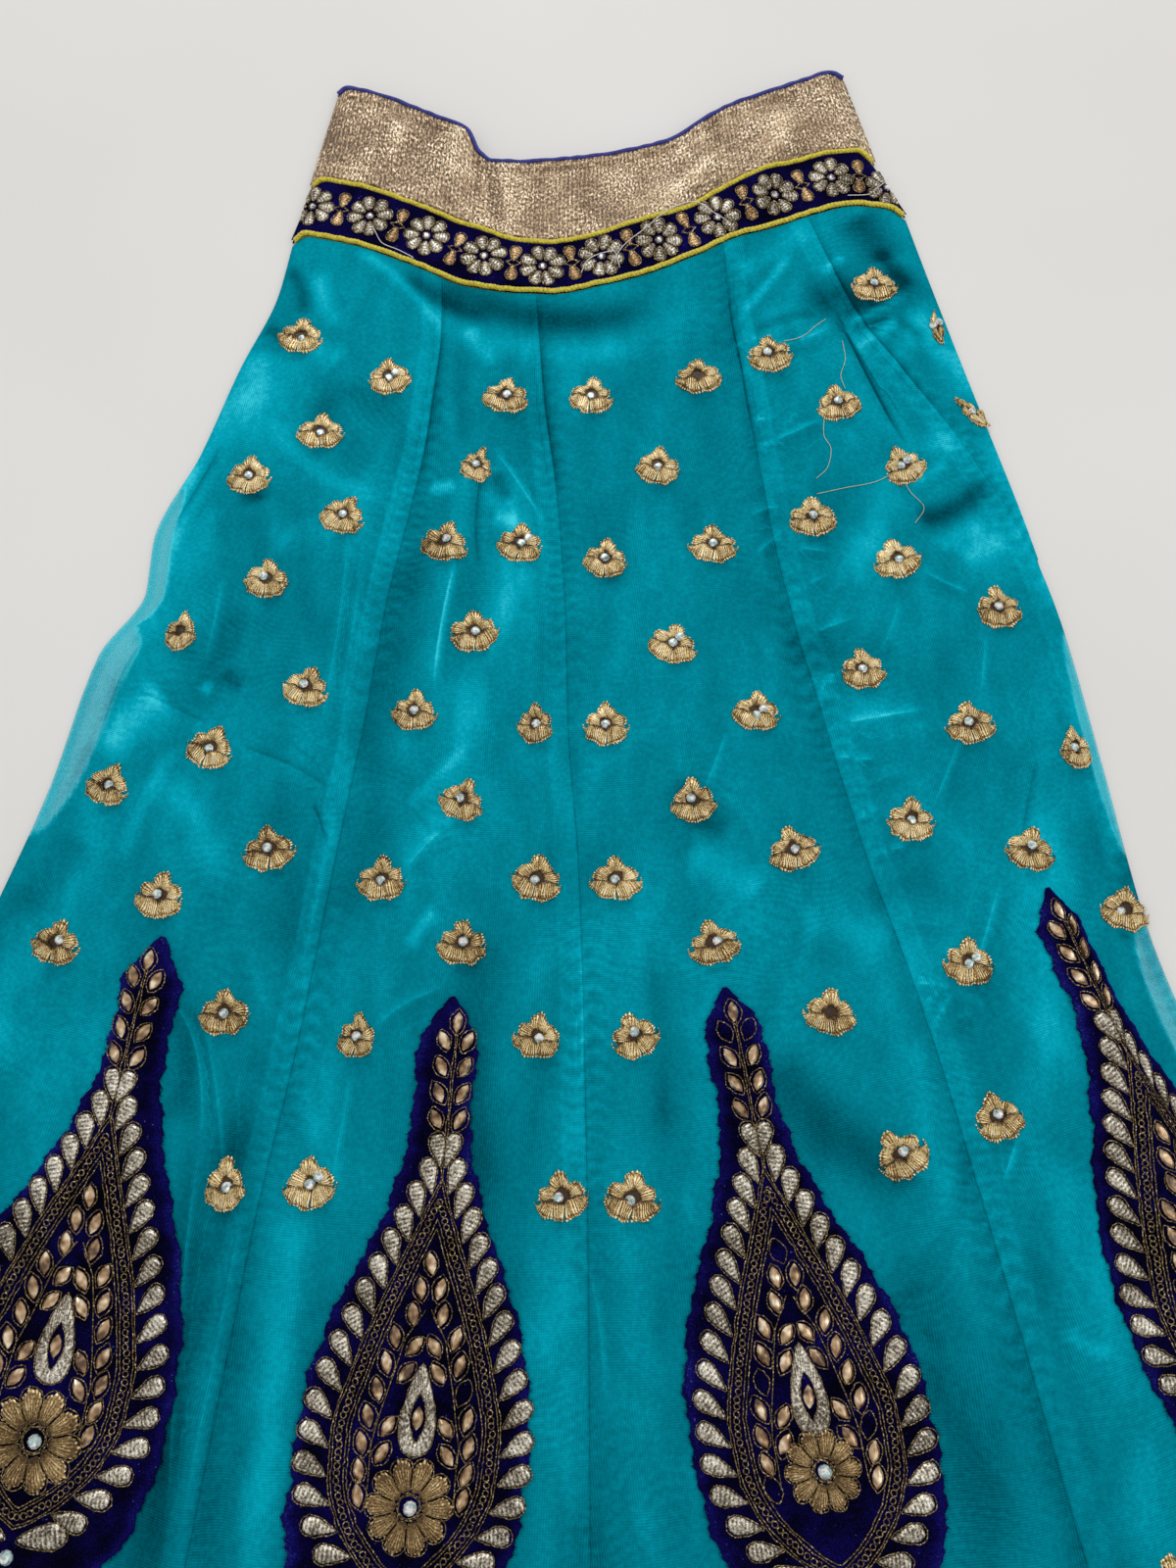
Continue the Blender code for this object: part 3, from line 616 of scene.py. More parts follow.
SHADE_AND_PALENESS_ROWS = (
    # Painted highlight and painted shade along creases, pulled lines and patches, and paler net where it
    # stands off the lining: the same columns, with tenths of an amount for the height.
    (-196, 345, -232, 230, -272, 110, 15, 24), (-178, 330, -190, 300, -215, 250, 9, 20),
    (-228, 275, -240, 222, -250, 160, 20, 12), (-225, 110, -240, 95, -262, 70, 23, 14),
    (-160, 262, -133, 298, -104, 268, -12, 11), (-146, 282, -130, 262, -112, 252, -7, 14),
    (-104, 386, -20, 350, 56, 362, -24, 11), (-118, 372, -30, 328, 55, 338, 9, 10),
    (96, 380, 124, 396, 150, 420, 10, 8), (134, 368, 178, 366, 214, 392, -27, 16),
    (174, 428, 186, 408, 194, 388, -24, 14), (196, 352, 226, 330, 246, 286, 22, 14),
    (238, 290, 256, 250, 272, 205, 16, 10), (-298, 10, -318, -50, -335, -100, -10, 13),
    (190, 262, 212, 262, 232, 272, 8, 9), (255, 220, 272, 190, 280, 150, 13, 13),
    (222, 188, 236, 196, 252, 204, 12, 8), (190, 255, 176, 210, 142, 165, 14, 12),
    (-46, 245, -32, 190, -60, 110, 13, 10), (-52, 135, -64, 62, -88, 6, 13, 10),
    (-88, 205, -104, 130, -118, 50, -12, 14), (-108, 80, -104, 30, -130, -30, -10, 13),
    (-178, 204, -150, 206, -112, 218, 9, 11), (-192, 248, -187, 235, -182, 222, -16, 9),
    (-186, 165, -198, 130, -204, 90, -10, 11), (-262, 30, -276, 8, -290, -20, -12, 12),
    (-236, 62, -202, 36, -188, -4, 11, 9), (-174, 55, -146, 10, -158, -50, -10, 19),
    (-165, -100, -180, -200, -190, -330, -20, 13), (-185, -280, -196, -360, -212, -470, -9, 18),
    (-122, -70, -134, -190, -150, -340, 12, 12), (-46, -18, -52, -80, -38, -190, -15, 12),
    (4, -90, -4, -200, 2, -320, 7, 11), (38, -30, 48, -85, 46, -140, -9, 10),
    (12, 235, 20, 200, 28, 165, -8, 14), (60, 315, 82, 275, 96, 236, -6, 14),
    (56, 62, 70, 42, 86, 26, -15, 9), (58, 18, 82, 8, 100, -8, 13, 11),
    (116, -18, 142, -22, 170, -36, 10, 12), (148, 86, 176, 96, 206, 86, 10, 12),
    (116, 146, 148, 130, 186, 140, -10, 13), (150, -10, 176, 0, 200, 6, -8, 10),
    (96, -80, 130, -125, 176, -150, -18, 16), (150, -180, 182, -250, 215, -340, -10, 18),
    (262, 65, 252, -20, 246, -110, 14, 13), (250, -130, 262, -210, 285, -320, 7, 16),
    (296, 30, 306, -20, 300, -60, -9, 10), (-290, -60, -312, -100, -330, -160, 12, 14),
    (-205, -55, -196, -90, -200, -125, -11, 10), (-360, -210, -380, -330, -408, -480, 8, 16),
    (340, -190, 366, -330, 400, -480, -6, 18), (10, -340, 16, -430, 22, -520, -7, 16),
    (-66, 190, -73, 150, -77, 108, 24, 1.5), (-48, 262, -30, 235, -12, 203, 13, 2.4),
    (-50, 258, -56, 215, -52, 180, -12, 2.4), (-205, 270, -225, 225, -238, 198, -14, 2.8),
    (-250, 125, -262, 85, -275, 50, -10, 3.6), (-162, 330, -150, 325, -138, 318, 15, 8.5),
    (-158, 388, -152, 362, -142, 342, 10, 5.5), (-178, 390, -167, 372, -164, 350, -15, 4.8),
    (-188, 345, -182, 341, -176, 337, -14, 4.2), (-182, 287, -158, 252, -104, 222, 9, 5.5),
    (-140, 400, -106, 376, -76, 335, 12, 3.8), (-108, 386, -80, 362, -48, 347, -15, 6),
    (-64, 345, -58, 330, -46, 316, 12, 5.5), (-84, 236, -76, 234, -67, 237, 17, 4.5),
    (-47, 217, -38, 213, -30, 212, 15, 5.5), (-46, 246, -42, 236, -36, 226, -15, 4.5),
    (-129, 212, -131, 150, -139, 80, 8, 2.8), (-120, 200, -124, 140, -130, 90, 6, 2.2),
    (-250, 112, -222, 101, -194, 86, -9, 1.4), (-184, 78, -155, 67, -124, 49, -12, 1.4),
    (-206, 114, -203, 111, -199, 110, 17, 4), (-195, 123, -189, 116, -182, 112, -13, 5.5),
    (-199, 182, -202, 150, -206, 122, 9, 2.8), (-214, 80, -230, 50, -243, 8, 9, 4.8),
    (-127, 50, -134, 0, -142, -52, 10, 2), (-141, 46, -135, 34, -131, 20, -12, 2),
    (-53, 82, -75, 58, -90, 40, 9, 3), (-70, -12, -79, -22, -86, -36, 14, 3.6),
    (-90, 6, -78, 22, -68, 31, 11, 2.6), (85, 86, 79, 70, 71, 50, 12, 1.6),
    (106, 258, 126, 269, 150, 281, 16, 2.1), (99, 348, 118, 372, 136, 397, 16, 3),
    (112, 325, 138, 333, 160, 346, 11, 2), (106, 337, 128, 348, 150, 352, -11, 3),
    (165, 346, 185, 355, 207, 371, 18, 3), (168, 329, 184, 337, 202, 353, 18, 3.8),
    (150, 381, 160, 388, 168, 395, 14, 3), (164, 342, 182, 346, 196, 352, -14, 2.4),
    (186, 402, 198, 385, 207, 370, -14, 5.5), (194, 349, 204, 344, 214, 334, -16, 4.5),
    (194, 234, 208, 244, 224, 253, 12, 3.6), (158, 362, 176, 312, 198, 258, -34, 1.6),
    (196, 216, 222, 222, 246, 246, -26, 7.5), (208, 194, 224, 205, 243, 213, 10, 6.5),
    (200, 183, 213, 174, 229, 167, 15, 1.4), (233, 146, 230, 126, 226, 106, 11, 1.4),
    (186, 167, 179, 146, 169, 129, 8, 2.8), (143, 89, 168, 94, 200, 99, 15, 2),
    (103, 216, 112, 221, 122, 221, 13, 1.8), (105, 191, 113, 200, 123, 208, 13, 1.8),
    (136, 107, 143, 115, 151, 121, 16, 2), (213, 83, 204, 62, 195, 43, 11, 1.5),
    (256, 76, 247, 45, 240, 18, -10, 2.2), (228, 4, 220, -20, 211, -42, 14, 2.6),
    (-209, -58, -191, -88, -184, -134, 14, 1.6), (-184, -126, -187, -210, -184, -310, 13, 1.6),
    (-191, -68, -178, -110, -171, -155, 9, 1.5), (-160, -150, -168, -220, -179, -310, 8, 2),
    (4, -25, 6, -65, 5, -110, 11, 1.4), (2, -182, 13, -205, 17, -260, 8, 1.6),
    (-112, -95, -115, -120, -120, -155, 8, 1.5), (-102, -76, -86, -62, -62, -52, 10, 2),
    (196, -48, 189, -56, 180, -62, 14, 1.5), (198, -54, 192, -64, 185, -73, 14, 1.5),
    (225, -126, 220, -138, 214, -152, 16, 1.5), (236, -214, 246, -223, 262, -226, 9, 3.6),
)
LIFT_RISE = 0.0006
SHADE_TOWARDS_HEM = 2.0
CRISP = 0.0029
EDGE_REACH = 0.012
PULL_HEIGHT = 0.00045
PULL_SEED = 11
PULL_ROWS = (
    # How many small pulls and wrinkles there are, their lengths, tallest height and half widths.
    (260, (0.018, 0.055), PULL_HEIGHT, (0.0016, 0.0034)),
    (90, (0.05, 0.15), 0.001, (0.004, 0.01)),
)
SPRIG_ROWS = (
    # Small flowers of gold thread lie over the net: how far up each row is, and its places across.
    (374, 185), (345, 221.5), (338, -165), (323, 118), (309, -110, 75), (296, -40, 11), (291, 158),
    (286, 238), (272, -149), (249, -56, 50, 194), (243, -189), (216, -132, 139), (199, -73, -30, 81),
    (190, 19, 186), (177, -174), (160, 242), (145, -220, -55), (138, 57), (122, 162), (111, -147),
    (98, -87, 102), (90, -20, 19, 219), (77, -198, 277), (56, -252), (47, -59, 66), (36, 183),
    (20, -162, 119, 246), (4, -101, -18, 24), (-5, -218), (-12, 294), (-30, -270, -57, 75), (-40, 208),
    (-66, -179, 134), (-78, -110, -17, 33), (-118, 216), (-136, 165), (-150, -170, -129),
    (-156, -4, 31), (-323, 276), (-380, -340, 2, 225), (-430, -230, -105, 120, 352),
    (-468, -320, -165, 10, 225),
)
SEAM_ALLOWANCES = (
    # Seam, the side its allowance is pressed to, how much paler the double strip is, how crisp its
    # inner edges are and how much painted shade darkens the net on the seam's other side.
    ("seam_1", -1, 0.7, 0.48, 0.3),
    ("seam_2", -1, 0.15, 0.26, 0.38),
    ("seam_3", 1, 0.9, 0.12, 0.75),
    ("side_seam", -1, 0.5, 0.1, 0.05),
)
ALLOWANCE_WIDTH = 0.012
PUCKER_PITCH = 0.0088
PUCKER_HEIGHT = 0.00032
PUCKER_REACH = 0.011
SEAM_LIP = 0.0002

across_steps, up_steps = (np.arange(-reach, reach, FIELD_STEP) for reach in FIELD_REACH)
field_x, field_y = np.meshgrid(across_steps, up_steps)


def fold_line(points, steps=FOLD_STEPS):
    """A bowed line through three points, given as six numbers or three pairs."""
    start, middle, end = np.reshape(points, (3, 2))
    control = 2 * middle - 0.5 * (start + end)
    t = np.linspace(0.0, 1.0, steps + 1)[:, None]
    return (1 - t) ** 2 * start + 2 * t * (1 - t) * control + t**2 * end


def near_line(line, reach):
    """The part of the field round a line: its slices, how far off each point is, its side and place."""
    columns, rows = (
        slice(*np.searchsorted(steps, (line[:, k].min() - reach, line[:, k].max() + reach)))
        for k, steps in enumerate((across_steps, up_steps))
    )
    x, y = field_x[rows, columns], field_y[rows, columns]
    nearest, side, place = np.full(x.shape, np.inf), np.ones(x.shape), np.zeros(x.shape)
    steps = len(line) - 1
    for step in range(steps):
        run = line[step + 1] - line[step]
        off_x, off_y = x - line[step, 0], y - line[step, 1]
        along = np.clip((off_x * run[0] + off_y * run[1]) / run.dot(run), 0.0, 1.0)
        distance = np.hypot(off_x - along * run[0], off_y - along * run[1])
        closer = distance < nearest
        side = np.where(closer, np.sign(run[0] * off_y - run[1] * off_x), side)
        place = np.where(closer, (step + along) / steps, place)
        nearest = np.minimum(distance, nearest)
    return (rows, columns), nearest, side, place


def raise_fold(field, line, height, half_width):
    """Adds one ridge or trough to the part of the field that it reaches."""
    part, nearest, _, place = near_line(line, 3.2 * half_width)
    grown = ease(place / FOLD_FADES) * ease((1 - place) / FOLD_FADES)
    field[part] += height * grown * np.exp(-((nearest / half_width) ** 2))


def press_edge(line, amount):
    """Marks how far points lie off a crisp pressed edge, to its left or right, and how strong the line painted along
    it is: painted highlight and shade on creases and pulls, a dark line on a seam, pale lines at an allowance's raw
    edges.
    """
    part, nearest, side, place = near_line(line, EDGE_REACH)
    closer = nearest < np.minimum(np.abs(edge_field[part]), EDGE_REACH)
    edge_field[part] = np.where(closer, side * nearest, edge_field[part])
    strong = amount * ease(place / 0.3) * ease((1 - place) / 0.3)
    strength_field[part] = np.where(closer, strong, strength_field[part])


def read_field(field, x, y):
    """A field's value between its points."""
    column = np.clip((x - across_steps[0]) / FIELD_STEP, 0, len(across_steps) - 1.001)
    row = np.clip((y - up_steps[0]) / FIELD_STEP, 0, len(up_steps) - 1.001)
    i, j = row.astype(int), column.astype(int)
    s, t = row - i, column - j
    low = field[i, j] * (1 - t) + field[i, j + 1] * t
    high = field[i + 1, j] * (1 - t) + field[i + 1, j + 1] * t
    return low * (1 - s) + high * s


def down_of(x, y):
    """How far down the skirt a point on the table lies."""
    down = np.clip(WAIST_TO_ORIGIN - y, 0.0, SKIRT_LENGTH)
    for _ in range(6):
        down = np.clip(down + level_height(down, x) - y, 0.0, SKIRT_LENGTH)
    return down


fold_field, strength_field = np.zeros(field_x.shape), np.zeros(field_x.shape)
# Painted shade: from the middle down towards the hem the net is painted darker.
shade_and_paleness_field = SHADE_TOWARDS_HEM * np.clip(field_y, -0.35, 0.0)
edge_field = np.full(field_x.shape, EDGE_REACH)
for *line, height, half_width in np.array(FOLD_ROWS) / 1000:
    raise_fold(fold_field, fold_line(line), height, half_width)
# Each row paints highlight where its amount is positive and shade where it is negative, and raises the net a little.
for *line, amount, half_width in np.array(SHADE_AND_PALENESS_ROWS) / ((1000,) * 6 + (10, 1000)):
    line = fold_line(line)
    if half_width < CRISP:
        press_edge(line, amount)
        # Painted shade beside each crisp crease, a little below it and to the right.
        raise_fold(shade_and_paleness_field, line + (0.0035, -0.0015), -0.35 * amount, 0.0045)
    else:
        raise_fold(shade_and_paleness_field, line, amount, half_width)
    raise_fold(fold_field, line, amount * min(0.25 * half_width, LIFT_RISE), half_width)

chance = np.random.default_rng(PULL_SEED)


def heading_to(turn):
    return np.array((math.cos(turn), math.sin(turn)))


def pull_net(at, heading, length, height, half_width):
    """One small ridge or trough, a little bowed, through a point."""
    run = heading_to(heading) * length
    bow = np.array((-run[1], run[0])) * chance.uniform(-0.16, 0.16)
    raise_fold(fold_field, fold_line((at - run / 2, at + bow, at + run / 2), 5), height, half_width)


for count, lengths, tallest, widths in PULL_ROWS:
    for _ in range(count):
        at = np.array((chance.uniform(-0.4, 0.4), chance.uniform(-0.52, 0.36)))
        heading = chance.normal(math.radians(90), 0.55) + at[0] * 0.9
        height = tallest * chance.choice((-1, 1)) * chance.uniform(0.4, 1.0)
        pull_net(at, heading, chance.uniform(*lengths), height, chance.uniform(*widths))
# The stitching of each sprig draws the net up on both sides of it.
sprig_places = np.array([(x, up) for up, *row in SPRIG_ROWS for x in row]) / 1000
for x, y in sprig_places:
    for side in (-1, 1):
        at = (x, y) + side * 0.02 * heading_to(heading := chance.normal(0.0, 0.35))
        height = PULL_HEIGHT * chance.choice((-0.6, 1.0)) * chance.uniform(0.5, 1.1)
        pull_net(at, heading, chance.uniform(0.016, 0.034), height, chance.uniform(0.0014, 0.0026))
    # Painted shadow on the net below each sprig, a little to the right.
    under = (x - 0.006, y - 0.012, x + 0.002, y - 0.0135, x + 0.01, y - 0.01)
    raise_fold(shade_and_paleness_field, fold_line(under, 4), -1.0, 0.0034)

field_down = down_of(field_x, field_y)
for name, side, paler, crisp, shade_beside in SEAM_ALLOWANCES:
    off_seam = field_x - skirt_edge[name](field_down)
    inward = side * off_seam
    in_strip = ease(inward / 0.0012 + 0.5) * ease((ALLOWANCE_WIDTH - inward) / 0.0012 + 0.5)
    wander = 5 * np.sin(field_down * 37) + 2 * np.sin(off_seam * 300)
    pucker = np.sin(2 * math.pi * field_down / PUCKER_PITCH + wander)
    uneven = 0.55 + 0.45 * np.sin(field_down * 21 + 2.0 * side)
    pucker *= np.exp(-((off_seam / PUCKER_REACH) ** 2)) * uneven
    fold_field += (PUCKER_HEIGHT * pucker + 0.0004 * in_strip) * ease(field_down / 0.006)
    # Painted highlight and shade over the puckers, and painted shade on the net beside the seam, away from its
    # allowance.
    shade_and_paleness_field += 0.55 * np.clip(pucker, -0.6, 1.0)
    shade_and_paleness_field -= shade_beside * np.exp(-np.abs(off_seam) / 0.008) * (inward < 0)
    down = np.linspace(0.0, 0.62, 120)
    inner = (side * ALLOWANCE_WIDTH, crisp, 0.62), (side * 0.0085, 0.6 * crisp, 0.5)
    for off, amount, last in ((0.0, -1.9, 0.16), *inner):
        at = down[down < last]
        x = skirt_edge[name](at) + off + 0.0006 * np.sin(at * 60 + off * 900)
        press_edge(np.column_stack([x, level_height(at, x)]), amount)
# Short pulls fan out from the third seam: a painted highlight along each and painted shade below it.
for pull, down in enumerate(np.arange(0.07, 0.46, 0.026)):
    down += 0.01 * math.sin(5.1 * pull)
    x = float(skirt_edge["seam_3"](down)) + 0.001
    reach, rise = 0.023 + 0.011 * math.sin(2.1 * pull), 0.25 + 0.45 * math.sin(1.3 * pull)
    y = float(level_height(down, x))
    line = fold_line((x, y, x + 0.5 * reach, y + 0.6 * reach * rise, x + reach, y + reach * rise))
    press_edge(line, 1.0 + 0.7 * math.sin(3.7 * pull))
    raise_fold(shade_and_paleness_field, line + (0.001, -0.004), -0.5, 0.004)
ripple = 0.00035 * np.sin(field_x * 92 + 2.5 * np.sin(field_y * 19))
fold_field += ripple * np.sin(field_y * 47 + 3 * np.sin(field_x * 14))


def soften(field, passes):
    for _ in range(passes):
        edged = np.pad(field, 1, mode="edge")
        around = edged[1:-1, :-2] + edged[1:-1, 2:] + edged[:-2, 1:-1] + edged[2:, 1:-1]
        field = (around + 2 * field) / 6
    return field


# Painted highlight and shade: paler where the net's folds rise to a crest, darker in their troughs.
smooth_fold = soften(fold_field, 2)
crest_shading_field = np.clip((smooth_fold - soften(smooth_fold, 14)) / 0.0003, -1.3, 1.5)
crest_shading_field += 0.35 * np.clip((smooth_fold - soften(smooth_fold, 60)) / 0.0022, -1.2, 1.2)
# The edge of what lies behind the sheer net shows as a pale line.
for side in ("left", "right"):
    inward, reach = np.abs(field_x - skirt_edge[side](field_down)), sheer_reach(side, field_down)
    shade_and_paleness_field += 0.9 * np.exp(-(((inward - reach) / 0.0014) ** 2)) * (reach > 0.002)


def front_height(x, y, from_side, edge_top):
    """Top of the front's cloth: low at the side folds, never lower than the layers under it."""
    wave = (LOFT + read_field(fold_field, x, y)) * ease((from_side - NET_MARGIN) / LOFT_REACH)
    wave = SOFTNESS * (np.logaddexp(0.0, wave / SOFTNESS) - np.log(2.0))
    climb = np.clip(from_side / NET_MARGIN, 0.0, 1.0)
    return edge_top + (FRONT_TOP - edge_top) * climb + np.maximum(wave, 0.0)


def net_height(x, y, down=None):
    """Top of the front net over a point on the table."""
    down = down_of(x, y) if down is None else down
    return front_height(x, y, side_distance(x, down), EDGE_TOP)


net_fields = {"crest": crest_shading_field, "lift": shade_and_paleness_field, "off_edge": edge_field, "edge": strength_field}


def front_marks(points, down, seams):
    x, y = points[..., 0], points[..., 1]
    doubled = np.zeros(x.shape)
    for name, side, paler, *_ in SEAM_ALLOWANCES:
        if seams[(1 - side) // 2] == name:
            off_seam = np.abs(x - skirt_edge[name](down))
            strip = ease((ALLOWANCE_WIDTH - off_seam) / 0.0014 + 0.5)
            doubled = np.maximum(doubled, paler * strip * (1 - 0.5 * ease(down / 0.6)))
    marks = {name: read_field(field, x, y) for name, field in net_fields.items()}
    return marks | {"doubled": doubled, "cover": cover_of(x, down)}


FRONT_GORES = (
    # Name, CAD node, edges, length, and which edges stand up as the lip of a pressed seam.
    ("net_gore_1", "gore_1_front", "left", "seam_1", SKIRT_LENGTH, (0, 1)),
    ("net_gore_2", "gore_2_front", "seam_1", "seam_2", SKIRT_LENGTH, (0, 1)),
    ("net_gore_3", "gore_3_front", "seam_2", "seam_3", SKIRT_LENGTH, (0, 0)),
    ("net_gore_4", "gore_4_front", "seam_3", "side_seam", SKIRT_LENGTH, (1, 1)),
    ("net_gore_turn", "gore_5_turn", "side_seam", "right", TURN_LENGTH, (0, 0)),
)
for name, node, low_edge, high_edge, stop, lips in FRONT_GORES:
    count = int(FRONT_LEVELS * (stop - FRONT_START) / SKIRT_LENGTH) + 1
    levels = np.linspace(FRONT_START, stop, count)
    stations = FRONT_STATIONS if stop > TURN_LENGTH else TURN_STATIONS
    edges = skirt_edge[low_edge], skirt_edge[high_edge]
    points, weave = panel_points(levels, stations, *edges, net_height)
    x, down = points[..., 0], weave[..., 1]
    for lip, off in zip(lips, (x - x[:, :1], x[:, -1:] - x)):
        points[..., 2] += lip * SEAM_LIP * np.exp(-((off / 0.004) ** 2)) * ease(down / 0.02)
    marks = front_marks(points, down, (low_edge, high_edge))
    gore = cloth_sheet(name, front_net, points, weave, NET, marks)
    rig.ride(gore, "root")
    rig.slot(gore, "turquoise_net")
    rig.replaces(gore, node)
    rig.sheet(gore, rests_on=["lining_front_panel"], **panel_cut(*edges, stop, levels))

# ---- Sprigs ----
# Small flowers satin-stitched in antique gold thread straight on to the net: a top lobe, two side
# lobes and a wide half-round foot, each a fan of stitches, round one cut-glass stone glued on.

BACK_SPRIG_STEP = (0.062, 0.078)
SPRIG_SEED = 5
SPRIG_LEAN = 0.75  # Each one leans along its gore, towards the waist.
SQUEEZED = (
    # Those that a fold narrows: where, how narrow, and how much further each one leans.
    (-0.056, 0.249, 0.66, 0.0),
    (-0.22, 0.145, 0.66, 0.0),
    (-0.17, -0.15, 0.66, 0.0),
    (-0.11, -0.078, 0.7, 0.0),
    (-0.02, 0.09, 0.7, 0.0),
    (0.277, 0.077, 0.62, 0.0),
    (0.2215, 0.345, 0.26, 0.2),
    (0.238, 0.286, 0.36, 0.3),
)
STITCH_RISE = 0.0007
STITCH_ROWS = (
    # How far along each stitch, how high the lobe is there and how bright its thread is painted: painted shade at
    # the inner edge and just inside the knots, painted highlight on the outer knots.
    (0.0, None, -0.6),
    (0.22, 0.95, 0.8),
    (0.7, 1.0, 1.05),
    (0.88, 0.55, 0.1),
    (1.0, 0.45, 1.7),
)
LOBE_PAD = 0.0012
STONE_RADIUS = 0.0027


def stitched_lobe(inner, outer, stitches, pad, ragged=0.1, seed=1, rise=0.3):
    """Satin stitches side by side between two lines, with a row of knots along the outer one: raised stitches painted
    lighter than the gaps between them, painted highlight on the knots.
    """
    some = np.random.default_rng(seed)
    columns = 2 * stitches + 1
    share = np.linspace(0.0, 1.0, columns)
    crest = np.arange(columns) % 2
    start, stop = inner(share), outer(share)
    puff = np.sqrt(np.clip(np.sin(math.pi * (0.06 + 0.88 * share)), 0, 1))
    uneven = some.uniform(-0.05, 0.05, columns)
    bright = some.uniform(0.5, 1.28, columns)
    points, shades = [], []
    for along, lift, shade in STITCH_ROWS:
        lift = lift or rise
        reach = along * (1 + (uneven - ragged * (1 - crest)) * (along > 0.9))
        plan = start + (stop - start) * reach[:, None]
        height = pad * lift * puff + STITCH_RISE * crest * (0.4 + 0.6 * lift)
        points.append(np.column_stack([plan, height]))
        shades.append(crest * shade * bright)
    points.append(points[-1] * (1.03, 1.03, 0.0))
    shades.append(0.0 * crest)
    return np.concatenate(points), grid_faces(len(points), columns), np.concatenate(shades)


def ring_line(centre, radii, angles, side=1):
    """Points on an oval arc, by share from the first angle to the second, in degrees."""

    def read(share):
        turn = np.radians(angles[0] + (angles[1] - angles[0]) * share)
        return (centre + radii * np.column_stack([np.cos(turn), np.sin(turn)])) * (side, 1)

    return read


def face_up(points, faces):
    """Turns every face of a low relief so that it looks up."""
    corners = points[faces[:, :3]]
    normal = np.cross(corners[:, 1] - corners[:, 0], corners[:, 2] - corners[:, 0])
    return np.where((normal[:, 2] < 0)[:, None], faces[:, ::-1], faces)


def thread_shape(name, points, faces, shades):
    """A stitched shape whose threads carry painted highlight and shade, with random differences between them, which is
    laid many times.
    """
    shape = mesh_object(name, points, face_up(points, faces))
    mark_points(shape, {"thread": shades.ravel()})
    return shape


def spokes(count):
    """Even directions all round."""
    turn = 2 * math.pi * np.arange(count) / count
    return np.column_stack([np.cos(turn), np.sin(turn)])


def sprig(name, fine):
    """A whole sprig, with a share of the full count of stitches; its lower lobes lap over the upper."""
    parts = []
    for side in (1, -1):
        inner = ring_line((-0.0066, -0.0092), (0.0086, 0.0086), (142, 40), side)
        outer = ring_line((-0.0014, -0.0018), (0.0122, 0.0102), (170, 275), side)
        parts.append(stitched_lobe(inner, outer, round(17 * fine), 1.5 * LOBE_PAD, 0.07, 6 + side, 1.0))
        inner = ring_line((0, 0), (0.0035, 0.0033), (118, 235), side)
        outer = ring_line((-0.0062, 0.0012), (0.0058, 0.0052), (72, 222), side)
        parts.append(stitched_lobe(inner, outer, round(11 * fine), LOBE_PAD, 0.1, 3 + side))
    inner = ring_line((0, 0), (0.0035, 0.0034), (122, 58))
    outer = ring_line((0, 0.0064), (0.0052, 0.0062), (205, -25))
    parts.append(stitched_lobe(inner, outer, round(12 * fine), 1.15 * LOBE_PAD))
    # A dark disc of thread under the stone: painted shade in the hollow round the stone.
    shade_disc = np.concatenate([spokes(12) * 0.0005, spokes(12) * 0.0042])
    shade_disc = np.column_stack([shade_disc, np.full(24, 0.00025)])
    parts.append((shade_disc, grid_faces(2, 12, 0, 1)[:, [0, 3, 2, 1]], np.full(24, -0.6)))
    points, faces, shades = zip(*parts)
    starts = np.cumsum([0, *map(len, points)])
    faces = np.concatenate([some + start for some, start in zip(faces, starts)])
    return thread_shape(name, np.concatenate(points), faces, np.concatenate(shades))


sprig_shape = sprig("sprig_shape", 1.0)
plain_sprig_shape = sprig("plain_sprig_shape", 0.25)


def cut_stone(name, radius_x, radius_y, height, sides, pointed=False):
    """A flat-backed cut stone: a girdle, a ring of facets and a table, in flat facets."""
    plan = spokes(sides)
    if pointed:
        plan[:, 0] = np.sign(plan[:, 0]) * (1 - np.abs(plan[:, 1]) ** 2.1)
    plan *= (radius_x, radius_y)
    rings = ((1.0, 0.0), (0.97, 0.35), (0.6, 0.92))
    points = [np.column_stack([plan * size, np.full(sides, lift * height)]) for size, lift in rings]
    faces = [*grid_faces(3, sides, 0, 1)[:, [0, 3, 2, 1]]]
    faces += [(2 * sides + side, 2 * sides + (side + 1) % sides, 3 * sides) for side in range(sides)]
    stone = mesh_object(name, np.concatenate(points + [[(0.0, 0.0, height)]]), faces)
    stone.data.shade_flat()
    return stone


round_stone = cut_stone("round_stone_shape", STONE_RADIUS, STONE_RADIUS, 0.0016, 10)


def new_tree(name, **inputs):
    """The nodes of a Geometry Nodes tree with named inputs, and what its inputs give."""
    nodes = Nodes(bpy.data.node_groups.new(name, "GeometryNodeTree"))
    made = {"Geometry": "Geometry"}
    for way, sockets in (("INPUT", made | inputs), ("OUTPUT", made)):
        for label, kind in sockets.items():
            nodes.tree.interface.new_socket(label, in_out=way, socket_type="NodeSocket" + kind)
    return nodes, nodes.add("NodeGroupInput", output=None).outputs


def finish_tree(nodes, geometry, finish):
    realized = nodes.add("GeometryNodeRealizeInstances", {"Geometry": geometry})
    coloured = nodes.add("GeometryNodeSetMaterial", {"Geometry": realized, "Material": finish})
    nodes.add("NodeGroupOutput", {"Geometry": coloured}, None)


